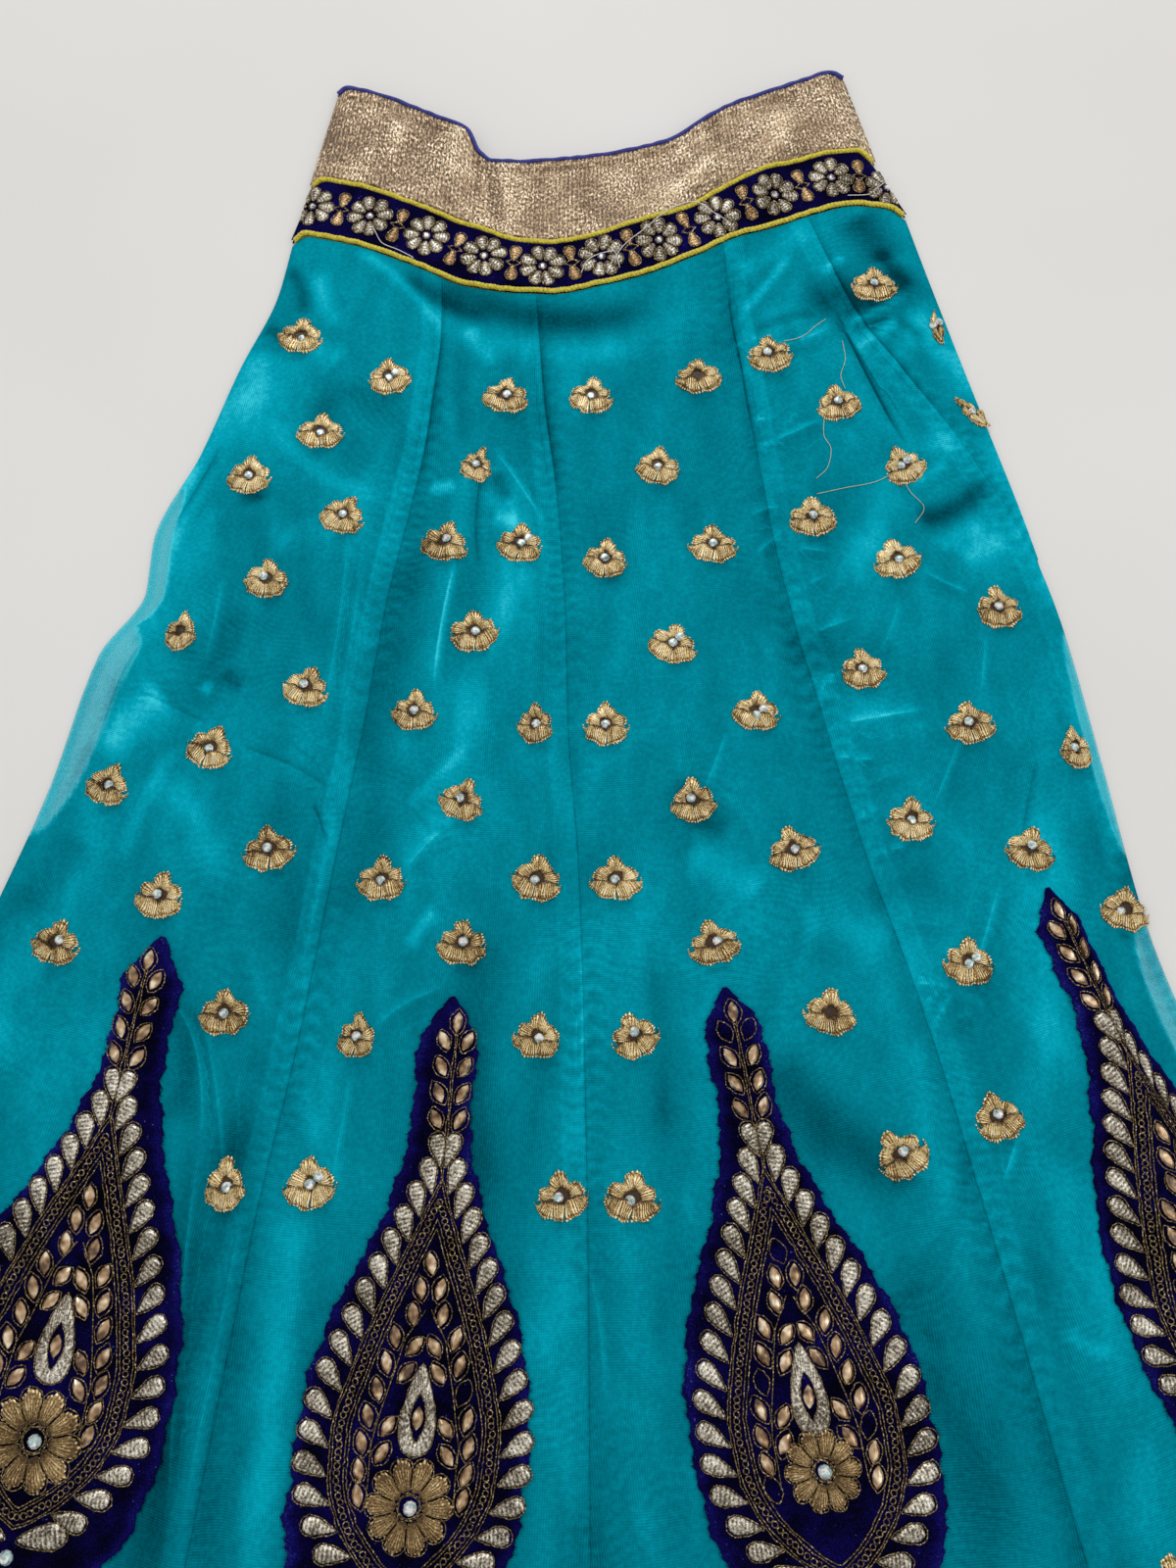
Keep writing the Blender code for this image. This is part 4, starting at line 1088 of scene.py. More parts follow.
def run_tree(source, nodes, name, **inputs):
    """Puts a tree on a source mesh, keeps the result as a plain mesh object and removes the source."""
    modifier = source.modifiers.new("make", "NODES")
    modifier.node_group = nodes.tree
    for item in nodes.tree.interface.items_tree:
        if item.in_out == "INPUT" and item.name.lower() in inputs:
            modifier[item.identifier] = inputs[item.name.lower()]
    bpy.context.view_layer.update()
    made = bpy.data.meshes.new_from_object(source.evaluated_get(bpy.context.evaluated_depsgraph_get()))
    made.name = name
    thing = in_scene(name, made)
    bpy.data.objects.remove(source, do_unlink=True)
    return thing


# Lays one piece on each point, turned and stretched as the point says, with a little chance turn.
laying, given = new_tree("lay_pieces", Piece="Object", Finish="Material", Jitter="Float", Seed="Int")
turned, stretched = (
    laying.add("GeometryNodeInputNamedAttribute", {"Name": name}, data_type=kind)
    for name, kind in (("turned", "FLOAT"), ("stretched", "FLOAT_VECTOR"))
)
# Sockets 2 and 3 of the random value are the least and the greatest plain number.
swing = {2: laying.product(given["Jitter"], -1.0), 3: given["Jitter"], "Seed": given["Seed"]}
swing = laying.add("FunctionNodeRandomValue", swing, 1, data_type="FLOAT")
turn = laying.add("ShaderNodeCombineXYZ", {"Z": laying.math("ADD", turned, swing)})
piece = laying.add("GeometryNodeObjectInfo", {"Object": given["Piece"]}, "Geometry")
laid = {"Points": given["Geometry"], "Instance": piece, "Rotation": turn, "Scale": stretched}
finish_tree(laying, laying.add("GeometryNodeInstanceOnPoints", laid), given["Finish"])


def lay_pieces(name, shape, finish, places, turns, stretches=(1.0, 1.0, 1.0), jitter=0.0, seed=1):
    """One joined mesh of a shape laid at every place, flat on the table."""
    places = np.column_stack([places, np.zeros(len(places))])
    source = mesh_object(name + "_spots", places, [])
    turned, stretched = np.broadcast_to(turns, len(places)), np.broadcast_to(stretches, places.shape)
    mark_points(source, {"turned": turned, "stretched": stretched})
    return run_tree(source, laying, name, piece=shape, finish=finish, jitter=jitter, seed=seed)


def move_points(thing, rule):
    """Moves every point of a piece by a rule that turns its x, y and z into new ones."""
    points = np.empty(len(thing.data.vertices) * 3, np.float32)
    thing.data.vertices.foreach_get("co", points)
    moved = np.column_stack(rule(*points.reshape(-1, 3).T.astype(float)))
    thing.data.vertices.foreach_set("co", np.ascontiguousarray(moved, np.float32).ravel())
    thing.data.update()


def thread_finish(name, metallic, rough, scale, crest, *stops):
    """Metal thread laid side by side: painted shade between the strands and painted highlight along them, uneven from
    place to place.
    """
    thread = Finish(name, Metallic=metallic, Roughness=rough)
    fine, broad = thread.noise(scale, 2.0, 0.6), thread.noise(55.0)
    strands = thread.mark("thread"), crest
    thread.paint(thread.blend(0.48 - crest / 2, (fine, 1.3, 0.5), (broad, 0.7, 0.5), strands), *stops)
    thread.emboss(fine, 0.0003, 0.7)
    return thread.material


def patchy_finish(name, scale, *stops, **settings):
    """A surface whose colour changes from one small patch to the next."""
    finish = Finish(name, **settings)
    finish.paint(finish.noise(scale, 1.0), *stops)
    return finish.material


gold_thread = thread_finish(
    "antique_gold_thread", 0.42, 0.34, 1200.0, 0.7,
    (0.08, 0.04, 0.018, 0.004),
    (0.26, 0.23, 0.13, 0.036),
    (0.46, 0.64, 0.45, 0.17),
    (0.66, 0.93, 0.73, 0.37),
    (0.88, 1.0, 0.95, 0.72),
)
glass = {"Metallic": 0.25, "Roughness": 0.07, "Coat_Weight": 1.0, "Coat_Roughness": 0.03}
# Tints of its coating, with pale and dark patches for facets catching the light and facets in shade: painted
# reflection and shade.
opal_stone = patchy_finish(
    "opal_glass_stone", 420.0,
    (0.25, 0.1, 0.13, 0.16),
    (0.38, 0.42, 0.42, 0.44),
    (0.48, 0.3, 0.52, 0.5),
    (0.6, 0.9, 0.88, 0.84),
    (0.75, 0.6, 0.36, 0.46),
    **glass,
)



def drawn_up(x, y, z):
    """No two pucker alike: the thread draws each sprig a little out of shape."""
    across = x + 0.0006 * np.sin(520 * y + 3 * np.sin(390 * x))
    up = y + 0.0006 * np.sin(470 * x + 3 * np.sin(340 * y))
    return across, up, z * (1 + 0.35 * np.sin(760 * x + 2 * np.sin(610 * y)))


chance = np.random.default_rng(SPRIG_SEED)
count = len(sprig_places)
sprig_turns = SPRIG_LEAN * sprig_places[:, 0] + chance.normal(0.0, 0.2, count)
sprig_sizes = [chance.uniform(0.88, 1.03, count), chance.uniform(0.93, 1.04, count), np.ones(count)]
sprig_sizes = np.column_stack(sprig_sizes)
for *spot, narrow, lean in SQUEEZED:
    squeezed = np.argmin(np.linalg.norm(sprig_places - spot, axis=1))
    sprig_sizes[squeezed, 0] = narrow
    sprig_turns[squeezed] += lean
sprigs = lay_pieces("sprigs_front", sprig_shape, gold_thread, sprig_places, sprig_turns, sprig_sizes)
move_points(sprigs, drawn_up)
move_points(sprigs, lambda x, y, z: (x, y, z + net_height(x, y)))
stone_places = sprig_places + chance.normal(0.0, 0.0011, sprig_places.shape)
has_stone, has_second = chance.uniform(size=(2, count)) > ((0.03,), (0.86,))
stone_places = np.concatenate([stone_places[has_stone], stone_places[has_second] + (0.004, 0.0036)])
stones = lay_pieces("sprig_stones_front", round_stone, opal_stone, stone_places, 0.0, jitter=1.0)
move_points(stones, lambda x, y, z: (x, y, z + (net_height(x, y) + 0.0006)))


def flat_on_back(thing, relief=0.00016, tallest=0.0026):
    """Presses a layout flat into the underside, where it faces down."""
    move_points(thing, lambda x, y, z: (x, y, 0.00019 - relief * np.clip(z / tallest, 0, 1)))
    thing.data.flip_normals()


back_places = []
for row, up in enumerate(np.arange(0.335, -0.5, -BACK_SPRIG_STEP[1])):
    for x in np.arange(-0.42, 0.42, BACK_SPRIG_STEP[0]) + BACK_SPRIG_STEP[0] / 2 * (row % 2):
        y = float(up + 0.045 * (x / 0.3) ** 2)
        if side_distance(x, down_of(np.array(x), np.array(y))) > 0.03:
            back_places.append((x, y))
back_places = np.array(back_places)
back_turns = SPRIG_LEAN * back_places[:, 0] + chance.normal(0.0, 0.15, len(back_places))
back_sprigs = lay_pieces("sprigs_back", plain_sprig_shape, gold_thread, back_places, back_turns)
flat_on_back(back_sprigs, tallest=0.0018)
for thing, material in ((sprigs, "gold_thread"), (stones, "stone"), (back_sprigs, "gold_thread")):
    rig.ride(thing, "root")
    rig.slot(thing, material)

# ---- Velvet teardrops ----
# Four long teardrops cut from navy velvet and stitched down on the front gores over a little
# padding, with their raw edges left fuzzy. The last one runs off round the right fold.

TEARDROP_PLACES = (
    # How far down each starts, where its axis starts and ends across, how much of its right half
    # shows, how far the embroidery sits off the axis, and how far down its flower lies and its size.
    ("applique_1", 0.417, -0.214, -0.259, 1.0, -0.004, 0.2375, 1.08),
    ("applique_2", 0.427, -0.061, -0.084, 1.0, 0.004, 0.235, 1.0),
    ("applique_3", 0.427, 0.08, 0.132, 1.0, 0.0015, 0.226, 0.86),
    ("applique_4", 0.412, 0.253, 0.363, 0.52, 0.0, 0.235, 1.0),
)
TEARDROP_LENGTH = 0.312
TEARDROP_WALL = 0.0012
TEARDROP_CROWN = 0.0014
TEARDROP_ROWS = (
    # Thousandths of the way down, and half the width there in millimetres.
    (0, 4.5), (35, 11.8), (70, 15), (190, 14.9), (260, 18.6), (325, 25), (390, 33.3), (455, 43),
    (520, 50.2), (590, 55.6), (670, 57.3), (750, 56.7), (820, 52.5), (880, 46), (930, 34.5),
    (970, 19.5), (1000, 5),
)
TIP_HALF = 0.0012
TIP_SLOPE = 0.66
VELVET_LEVELS = 170
VELVET_STATIONS = 41
FRAY = 0.0008
TRIMMED_CLOSER = {(1, -1): 0.0055}  # One was cut closer to its embroidery on the left.
FUZZ_STEP = 0.0009
FUZZ_LENGTH = (0.0009, 0.0028)
FUZZ_SEED = 8

teardrop_half = smooth_table(*np.transpose(TEARDROP_ROWS) / 1000)


def velvet_half(down, number, sign):
    """Half the width of the velvet, with the small waver of a cut raw edge."""
    frayed = number + (1.7 if sign < 0 else 4.1)
    place = down / TEARDROP_LENGTH
    half = np.minimum(teardrop_half(place), TIP_HALF + TIP_SLOPE * down)
    closer = TRIMMED_CLOSER.get((number, sign), 0.0)
    half = half - closer * ease((place - 0.12) / 0.32) * ease((0.92 - place) / 0.25)
    waver = np.sin(down * 1450 + frayed) + np.sin(down * 3100 + 2 * frayed) * 0.8
    waver += np.sin(down * 620 + 3 * frayed) * 1.3 + np.sin(down * 210 + 5 * frayed) * 1.5
    return half + FRAY * waver * ease(half / 0.008) * 0.6


def teardrop_place(number, side, down):
    """Table place of a point on a teardrop: across from its axis, and down from its top."""
    _, top, start, end, right_share, *_ = TEARDROP_PLACES[number]
    x = start + (end - start) * down / TEARDROP_LENGTH + np.where(side > 0, side * right_share, side)
    return x, level_height(top + down, x)


def velvet_height(number, side, down):
    """Top of the velvet over a point on it."""
    x, y = teardrop_place(number, side, down)
    place = np.clip(down / TEARDROP_LENGTH, 0, 1)
    half = np.maximum(teardrop_half(place), 0.001)
    round_across = np.clip(np.cos(math.pi / 2 * np.clip(side / half, -1, 1)), 0, 1)
    crown = np.sqrt(np.clip(np.sin(math.pi * place), 0, 1) * round_across)
    top = TEARDROP_PLACES[number][1]
    return net_height(x, y, top + down) + GAP + TEARDROP_WALL * 0.85 + TEARDROP_CROWN * crown


sheen = {"Sheen_Weight": 0.04, "Sheen_Roughness": 0.35, "Sheen_Tint": (0.03, 0.06, 0.75, 1.0)}
velvet = Finish("navy_velvet", Roughness=0.95, Specular_IOR_Level=0.03, **sheen)
pile, lint = velvet.noise(1300.0, 2.0, 0.7), velvet.noise(800.0, 0.0)
tone = velvet.scaled(pile, 0.7, velvet.product(velvet.noise(55.0, 3.0), 0.55))
flecked = velvet.math("GREATER_THAN", lint, 0.835)
# Painted shade: the worked mark darkens the velvet among its raised embroidery, away from the raw edge; the pale
# flecks are lint.
tone = velvet.blend(tone, (velvet.mark("worked"), -0.16), (flecked, 0.35))
velvet.paint(
    tone,
    (0.4, 0.0003, 0.0003, 0.003),
    (0.58, 0.003, 0.0016, 0.05),
    (0.74, 0.006, 0.0065, 0.13),
    (0.98, 0.07, 0.11, 0.33),
)
velvet.emboss(pile, 0.0005, 0.9)


def fuzz_place(number, x, y, z):
    x, y = teardrop_place(number, x, -y)
    return x, y, net_height(x, y) + 0.0009 + z


fuzz_corners = [(-0.00016, 0, -0.0001), (0.00016, 0, -0.0001), (0, 0, 0.0002), (0.00004, 0.001, 0)]
fuzz_shape = mesh_object("fuzz_shape", fuzz_corners, [(0, 3, 2), (1, 2, 3), (0, 1, 3), (0, 2, 1)])

chance = np.random.default_rng(FUZZ_SEED)
for number, (name, top, start, end, right_share, *_) in enumerate(TEARDROP_PLACES):
    shares = np.linspace(-1.0, 1.0, VELVET_STATIONS)[None, :]
    down = np.linspace(0.0, TEARDROP_LENGTH, VELVET_LEVELS)[:, None] + 0 * shares
    half = np.where(shares < 0, velvet_half(down, number, -1), velvet_half(down, number, 1))
    side = shares * half
    points = np.stack([*teardrop_place(number, side, down), velvet_height(number, side, down)], axis=2)
    weave = np.stack([side, down], axis=2)
    inside = half * (1 - np.abs(shares))
    # Painted shade among the embroidery, fading out towards the raw edge and the tip.
    worked = {"worked": ease((inside - 0.0015) / 0.006) * ease(down / 0.03)}
    piece = cloth_sheet(name + "_velvet", velvet.material, points, weave, TEARDROP_WALL * 0.9, worked)
    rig.ride(piece, "root")
    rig.slot(piece, "navy_velvet")
    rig.replaces(piece, name)
    width = 2 * float(teardrop_half(0.67)) * (1 + right_share) / 2
    area = float(teardrop_half(np.linspace(0, 1, 200)).mean()) * TEARDROP_LENGTH * (1 + right_share)
    under = f"net_gore_{number + 1}"
    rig.sheet(piece, flat=(width, TEARDROP_LENGTH), held="laid", area=area, rests_on=[under])
    # Loose fibres stand out of the raw edge.
    along = np.arange(0.002, TEARDROP_LENGTH - 0.001, FUZZ_STEP)
    places, turns = [], []
    for sign in (-1, 1):
        edge = along + chance.normal(0, 0.0004, len(along))
        half = velvet_half(edge, number, sign)
        places.append(np.column_stack([sign * (half - 0.0004), -edge]))
        turn = math.pi / 2 + np.arctan(np.gradient(half, edge))
        turns.append(-sign * turn + chance.normal(0, 0.6, len(edge)))
    places, turns = np.concatenate(places), np.concatenate(turns)
    sizes = np.ones((len(places), 3))
    sizes[:, 1] = chance.uniform(*FUZZ_LENGTH, len(places)) / 0.001
    fuzz = lay_pieces(name + "_fuzz", fuzz_shape, velvet.material, places, turns, sizes)
    move_points(fuzz, lambda x, y, z: fuzz_place(number, x, y, z))
    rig.ride(fuzz, "root")
    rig.slot(fuzz, "navy_velvet")

# ---- Embroidery on the teardrops ----
# Couched gold cord draws a stem, a pointed border of rings between double cords and two vines. Padded
# silver petals stand round the border; champagne glass stones are set in cord loops along the stem
# and the vines, over a silver drop and a gold flower of ten petals with an opal stone.

CORD = {"radius": 0.00037, "sides": 4, "step": 0.0016, "turn": 0.9, "strands": 1, "lobe": 0.0}
BORDER_ROWS = (
    # How far down, and half the width of the border there, in millimetres.
    (89, 0), (120, 12.5), (151, 25), (178, 34), (205, 40), (226, 39.2), (243, 33.5), (258, 22.5),
    (268, 11.5), (275, 0),
)
BORDER_INSETS = (0.0, 0.0012, 0.0072, 0.0088)
RING_INSET = 0.0042
RING_STEP = 0.0031
RING_RADII = (0.00142, 0.00036)
PETAL_STEP = 0.0122
PETAL_SIZE = (0.0178, 0.0045)
PETAL_RISE_ROWS = (
    # How far down, and how steeply the petal there rises as it points outwards, in degrees.
    (0.08, 77), (0.12, 72), (0.15, 66), (0.18, 54), (0.2, 42), (0.215, 32),
    (0.23, 22), (0.245, 11), (0.258, 0), (0.268, -12), (0.278, -22),
)
LEAF_SIZE = (0.0245, 0.0058)
LEAF_RISE = 16
STEM_STONES = (0.0225, 0.0355, 0.0485, 0.0612)
BUD_STONES = ((0.1405, 0.0048), (0.152, 0.0072))
STONE_OUTLINE = (0.0132, 0.004)
VINE_STEP = 0.0117
FLOWER_PETAL = (0.015, 0.0053)
FLOWER_REACH = 0.0136
DROP_ABOVE_FLOWER = 0.041
DROP_RING = (0.04, 0.0084)
DROP_HOLE = (0.022, 0.0038)
DROP_SEED = 12
MOTIF_SEED = 31

border_half = smooth_table(*np.transpose(BORDER_ROWS) / 1000)
petal_rise = smooth_table(*zip(*PETAL_RISE_ROWS))

# Follows each line of a mesh with a twisted tube of so many strands.
sizes = {label.title(): "Int" if isinstance(size, int) else "Float" for label, size in CORD.items()}
couching, given = new_tree("couch_cord", Finish="Material", **sizes)
index = couching.add("GeometryNodeInputIndex")
line = couching.add("GeometryNodeMeshToCurve", {"Mesh": given["Geometry"]})
line = {"Curve": line, "Length": given["Step"]}
line = couching.add("GeometryNodeResampleCurve", line, mode="LENGTH")
tilt = couching.product(index, given["Turn"])
line = couching.add("GeometryNodeSetCurveTilt", {"Curve": line, "Tilt": tilt})
circle = {"Resolution": given["Sides"], "Radius": given["Radius"]}
profile = couching.add("GeometryNodeCurvePrimitiveCircle", circle)
around = couching.math("DIVIDE", couching.product(index, given["Strands"]), given["Sides"])
lobe = couching.math("COSINE", couching.product(around, 2 * math.pi))
swell = couching.scaled(lobe, given["Lobe"], 1.0)
spot = {0: couching.add("GeometryNodeInputPosition"), "Scale": swell}
spot = couching.add("ShaderNodeVectorMath", spot, operation="SCALE")
profile = couching.add("GeometryNodeSetPosition", {"Geometry": profile, "Position": spot})
tube = {"Curve": line, "Profile Curve": profile, "Fill Caps": True}
finish_tree(couching, couching.add("GeometryNodeCurveToMesh", tube), given["Finish"])


def is_closed(line):
    return np.linalg.norm(line[0] - line[-1]) < 1e-6


def couch_cords(name, lines, finish, **sizes):
    """One mesh of cords that follow lines of points; a line that ends where it starts is closed."""
    sizes = CORD | sizes
    points, edges, count = [], [], 0
    for line in lines:
        if line.shape[1] == 2:
            line = np.column_stack([line, np.full(len(line), sizes["radius"])])
        closed = is_closed(line)
        line = line[:-1] if closed else line
        numbers = count + np.arange(len(line))
        edges += list(zip(numbers[:-1], numbers[1:])) + ([(numbers[-1], numbers[0])] if closed else [])
        points.append(line)
        count += len(line)
    source = mesh_object(name + "_lines", np.concatenate(points), [], edges=edges)
    thing = run_tree(source, couching, name, finish=finish, **sizes)
    thing.data.shade_smooth()
    return thing


def border_line(inset, count=90):
    """One side of the border, moved in square to itself: points from its top to its foot."""
    down = np.linspace(BORDER_ROWS[0][0] / 1000, BORDER_ROWS[-1][0] / 1000, 400)
    half = border_half(down)
    half = half - inset * np.sqrt(1 + np.gradient(half, down) ** 2)
    first, *_, last = down[half > 0]
    at = np.linspace(first, last, count)
    half = np.interp(at, down, half)
    half[[0, -1]] = 0.0
    return np.column_stack([half, -at])


def closed_border(inset):
    right = border_line(inset)
    return np.concatenate([right, (right[::-1] * (-1, 1))[1:]])


def lengths_along(line):
    """How far along a line each of its points is."""
    return np.concatenate([[0.0], np.cumsum(np.linalg.norm(np.diff(line, axis=0), axis=1))])


def walk_line(line, step, start=0.0):
    """Places at even steps along a line."""
    lengths = lengths_along(line)
    at = np.arange(start, lengths[-1], step)
    return np.column_stack([np.interp(at, lengths, column) for column in line.T])


def drop_width(t, sharp):
    """Half width of a drop from its tail to its round end, 1 at its widest."""
    fine = np.linspace(0, 1, 200)
    widest = (fine**sharp * np.sqrt(1 - fine**3)).max()
    return t**sharp * np.sqrt(np.clip(1 - t**3, 0, 1)) / widest


def both_sides(width, up):
    right, left = np.column_stack([width, up]), np.column_stack([-width, up])
    return np.concatenate([right, left[::-1][1:]])


def drop_outline(length, half, count=22, sharp=0.85):
    """A closed drop: its tail at the bottom and its round end up, centred on its middle."""
    t = (1 - np.cos(np.linspace(0, math.pi, count))) / 2
    return both_sides(half * drop_width(t, sharp), (t - 0.5) * length)


def almond_outline(length, half, count=12):
    t = np.linspace(-1, 1, count)
    return both_sides(half * (1 - np.abs(t) ** 2.1), t * length / 2)


def square_to(turn):
    return np.array((-math.sin(turn), math.cos(turn)))


def turned_line(line, turn, place):
    return np.asarray(place) + line[:, :1] * heading_to(turn) + line[:, 1:2] * square_to(turn)


def padded_petal(name, length, half, rows, columns, height, crinkle, seed, sharp=0.85):
    """A padded drop whose metal thread is wound across it, crushed by so much."""
    some = np.random.default_rng(seed)
    t = 0.02 + 0.965 * np.linspace(0, 1, rows)
    s = np.linspace(-1, 1, columns)
    x = (half * drop_width(t, sharp))[:, None] * s[None, :]
    slant = some.uniform(-0.12, 0.12, rows)[:, None] * length / rows * 3
    inner = np.abs(s) < 0.99
    y = ((t - 0.5) * length)[:, None] + slant * s[None, :] * inner
    round_along = np.clip(np.sin(math.pi * t) * 2.4, 0, 1)[:, None] ** 0.6
    z = height * np.sqrt(np.clip(1 - s**2, 0, 1))[None, :] * round_along
    ridge = np.arange(rows) % 2
    z += (crinkle * (ridge[:, None] - 0.5) + some.uniform(-crinkle, crinkle, z.shape) * 0.7) * inner
    points = np.stack([x, y, np.maximum(z, 0.0)], axis=2).reshape(-1, 3)
    faces = grid_faces(rows, columns)[:, [0, 3, 2, 1]]
    # Painted highlight on the raised crosswise rows, with random differences from thread to thread.
    return thread_shape(name, points, faces, ridge[:, None] * 0.75 + some.uniform(-0.45, 0.45, z.shape))


silver = thread_finish(
    "crinkled_silver_thread", 0.62, 0.3, 1000.0, 0.34,
    (0.1, 0.015, 0.011, 0.008),
    (0.34, 0.15, 0.125, 0.09),
    (0.52, 0.43, 0.39, 0.31),
    (0.68, 0.74, 0.7, 0.6),
    (0.86, 1.0, 0.99, 0.94),
)
# Dark bronze cord whose bright patches are painted glints.
gold_cord = patchy_finish(
    "bronze_gold_cord", 1100.0,
    (0.32, 0.018, 0.01, 0.005),
    (0.5, 0.135, 0.092, 0.04),
    (0.62, 0.37, 0.27, 0.13),
    (0.76, 0.9, 0.76, 0.46),
    Metallic=0.7,
    Roughness=0.36,
)
glass = {"Metallic": 0.55, "Roughness": 0.12, "Coat_Weight": 0.8, "Coat_Roughness": 0.05}
# Its pale and dark patches stand for facets catching the light and facets in shade: painted reflection and shade.
champagne = patchy_finish(
    "champagne_glass_stone", 210.0,
    (0.32, 0.085, 0.04, 0.014),
    (0.46, 0.33, 0.195, 0.09),
    (0.58, 0.56, 0.385, 0.215),
    (0.72, 0.95, 0.82, 0.62),
    **glass,
)
satin_gold = thread_finish(
    "satin_gold_thread", 0.55, 0.34, 1100.0, 0.42,
    (0.12, 0.045, 0.022, 0.005),
    (0.34, 0.15, 0.088, 0.03),
    (0.54, 0.33, 0.215, 0.085),
    (0.72, 0.56, 0.4, 0.19),
    (0.92, 1.0, 0.86, 0.56),
)

length, half = PETAL_SIZE[0] * 0.94, PETAL_SIZE[1] - 0.0004
silver_petal = padded_petal("silver_petal_shape", length, half, 17, 6, 0.0016, 0.00036, 3)
length, half = LEAF_SIZE[0] * 0.94, LEAF_SIZE[1] - 0.0004
foot_leaf = padded_petal("silver_leaf_shape", length, half, 21, 7, 0.0016, 0.0004, 4, 0.7)
radii = FLOWER_PETAL[1] - 0.001, FLOWER_PETAL[0] / 2 - 0.0026



def petal_base(share):
    return np.column_stack([-0.0021 + 0.0042 * share, np.full(len(share), -0.0068)])


petal = stitched_lobe(petal_base, ring_line((0, 0.0018), radii, (214, -34)), 10, 0.0017, 0.02, 5)
gold_petal = thread_shape("gold_petal_shape", *petal)
almond_stone = cut_stone("almond_stone_shape", 0.0027, 0.0053, 0.0019, 12, pointed=True)
flower_stone = cut_stone("flower_stone_shape", 0.0033, 0.0033, 0.0024, 10)
turn, around = (2 * math.pi * np.arange(count) / count for count in (8, 4))
turn, around = (angle.ravel() for angle in np.meshgrid(turn, around, indexing="ij"))
reach = RING_RADII[0] + RING_RADII[1] * np.cos(around)
ring_lift = 0.0006 + RING_RADII[1] * np.sin(around) + 0.0003 * np.cos(turn)
ring_points = np.column_stack([reach * np.cos(turn), reach * np.sin(turn), ring_lift])
ring_shape = mesh_object("cord_ring_shape", ring_points, grid_faces(8, 4, 1, 1))

# The silver drop over the flower: short stitches round a pointed hole.
outer_drop = drop_outline(*DROP_RING, 26, 0.75)[::-1][:-1, None]
hole = almond_outline(*DROP_HOLE, 26)[::-1][:-1, None] + (0, 0.0035)
spread = np.linspace(0, 1, 5)
belt = outer_drop + (hole - outer_drop) * spread[None, :, None]
some = np.random.default_rng(DROP_SEED)
lift = 0.0016 * np.sqrt(np.sin(math.pi * (0.03 + 0.94 * spread)))[None, :]
lift = lift + some.uniform(-0.0003, 0.0003, belt.shape[:2])
drop_points = np.concatenate([belt, np.maximum(lift, 0.0)[..., None]], axis=2).reshape(-1, 3)
shades = (np.arange(len(lift)) % 2)[:, None] * 0.7 + some.uniform(-0.3, 0.4, lift.shape)
drop_ring = thread_shape("silver_drop_shape", drop_points, grid_faces(*lift.shape, 1, 0), shades)


def aimed(side, rise):
    """The direction that points outwards on one side and rises by so many degrees."""
    return np.array((side * math.cos(math.radians(rise)), math.sin(math.radians(rise))))


def turn_of(aim):
    return math.atan2(-aim[0], aim[1])


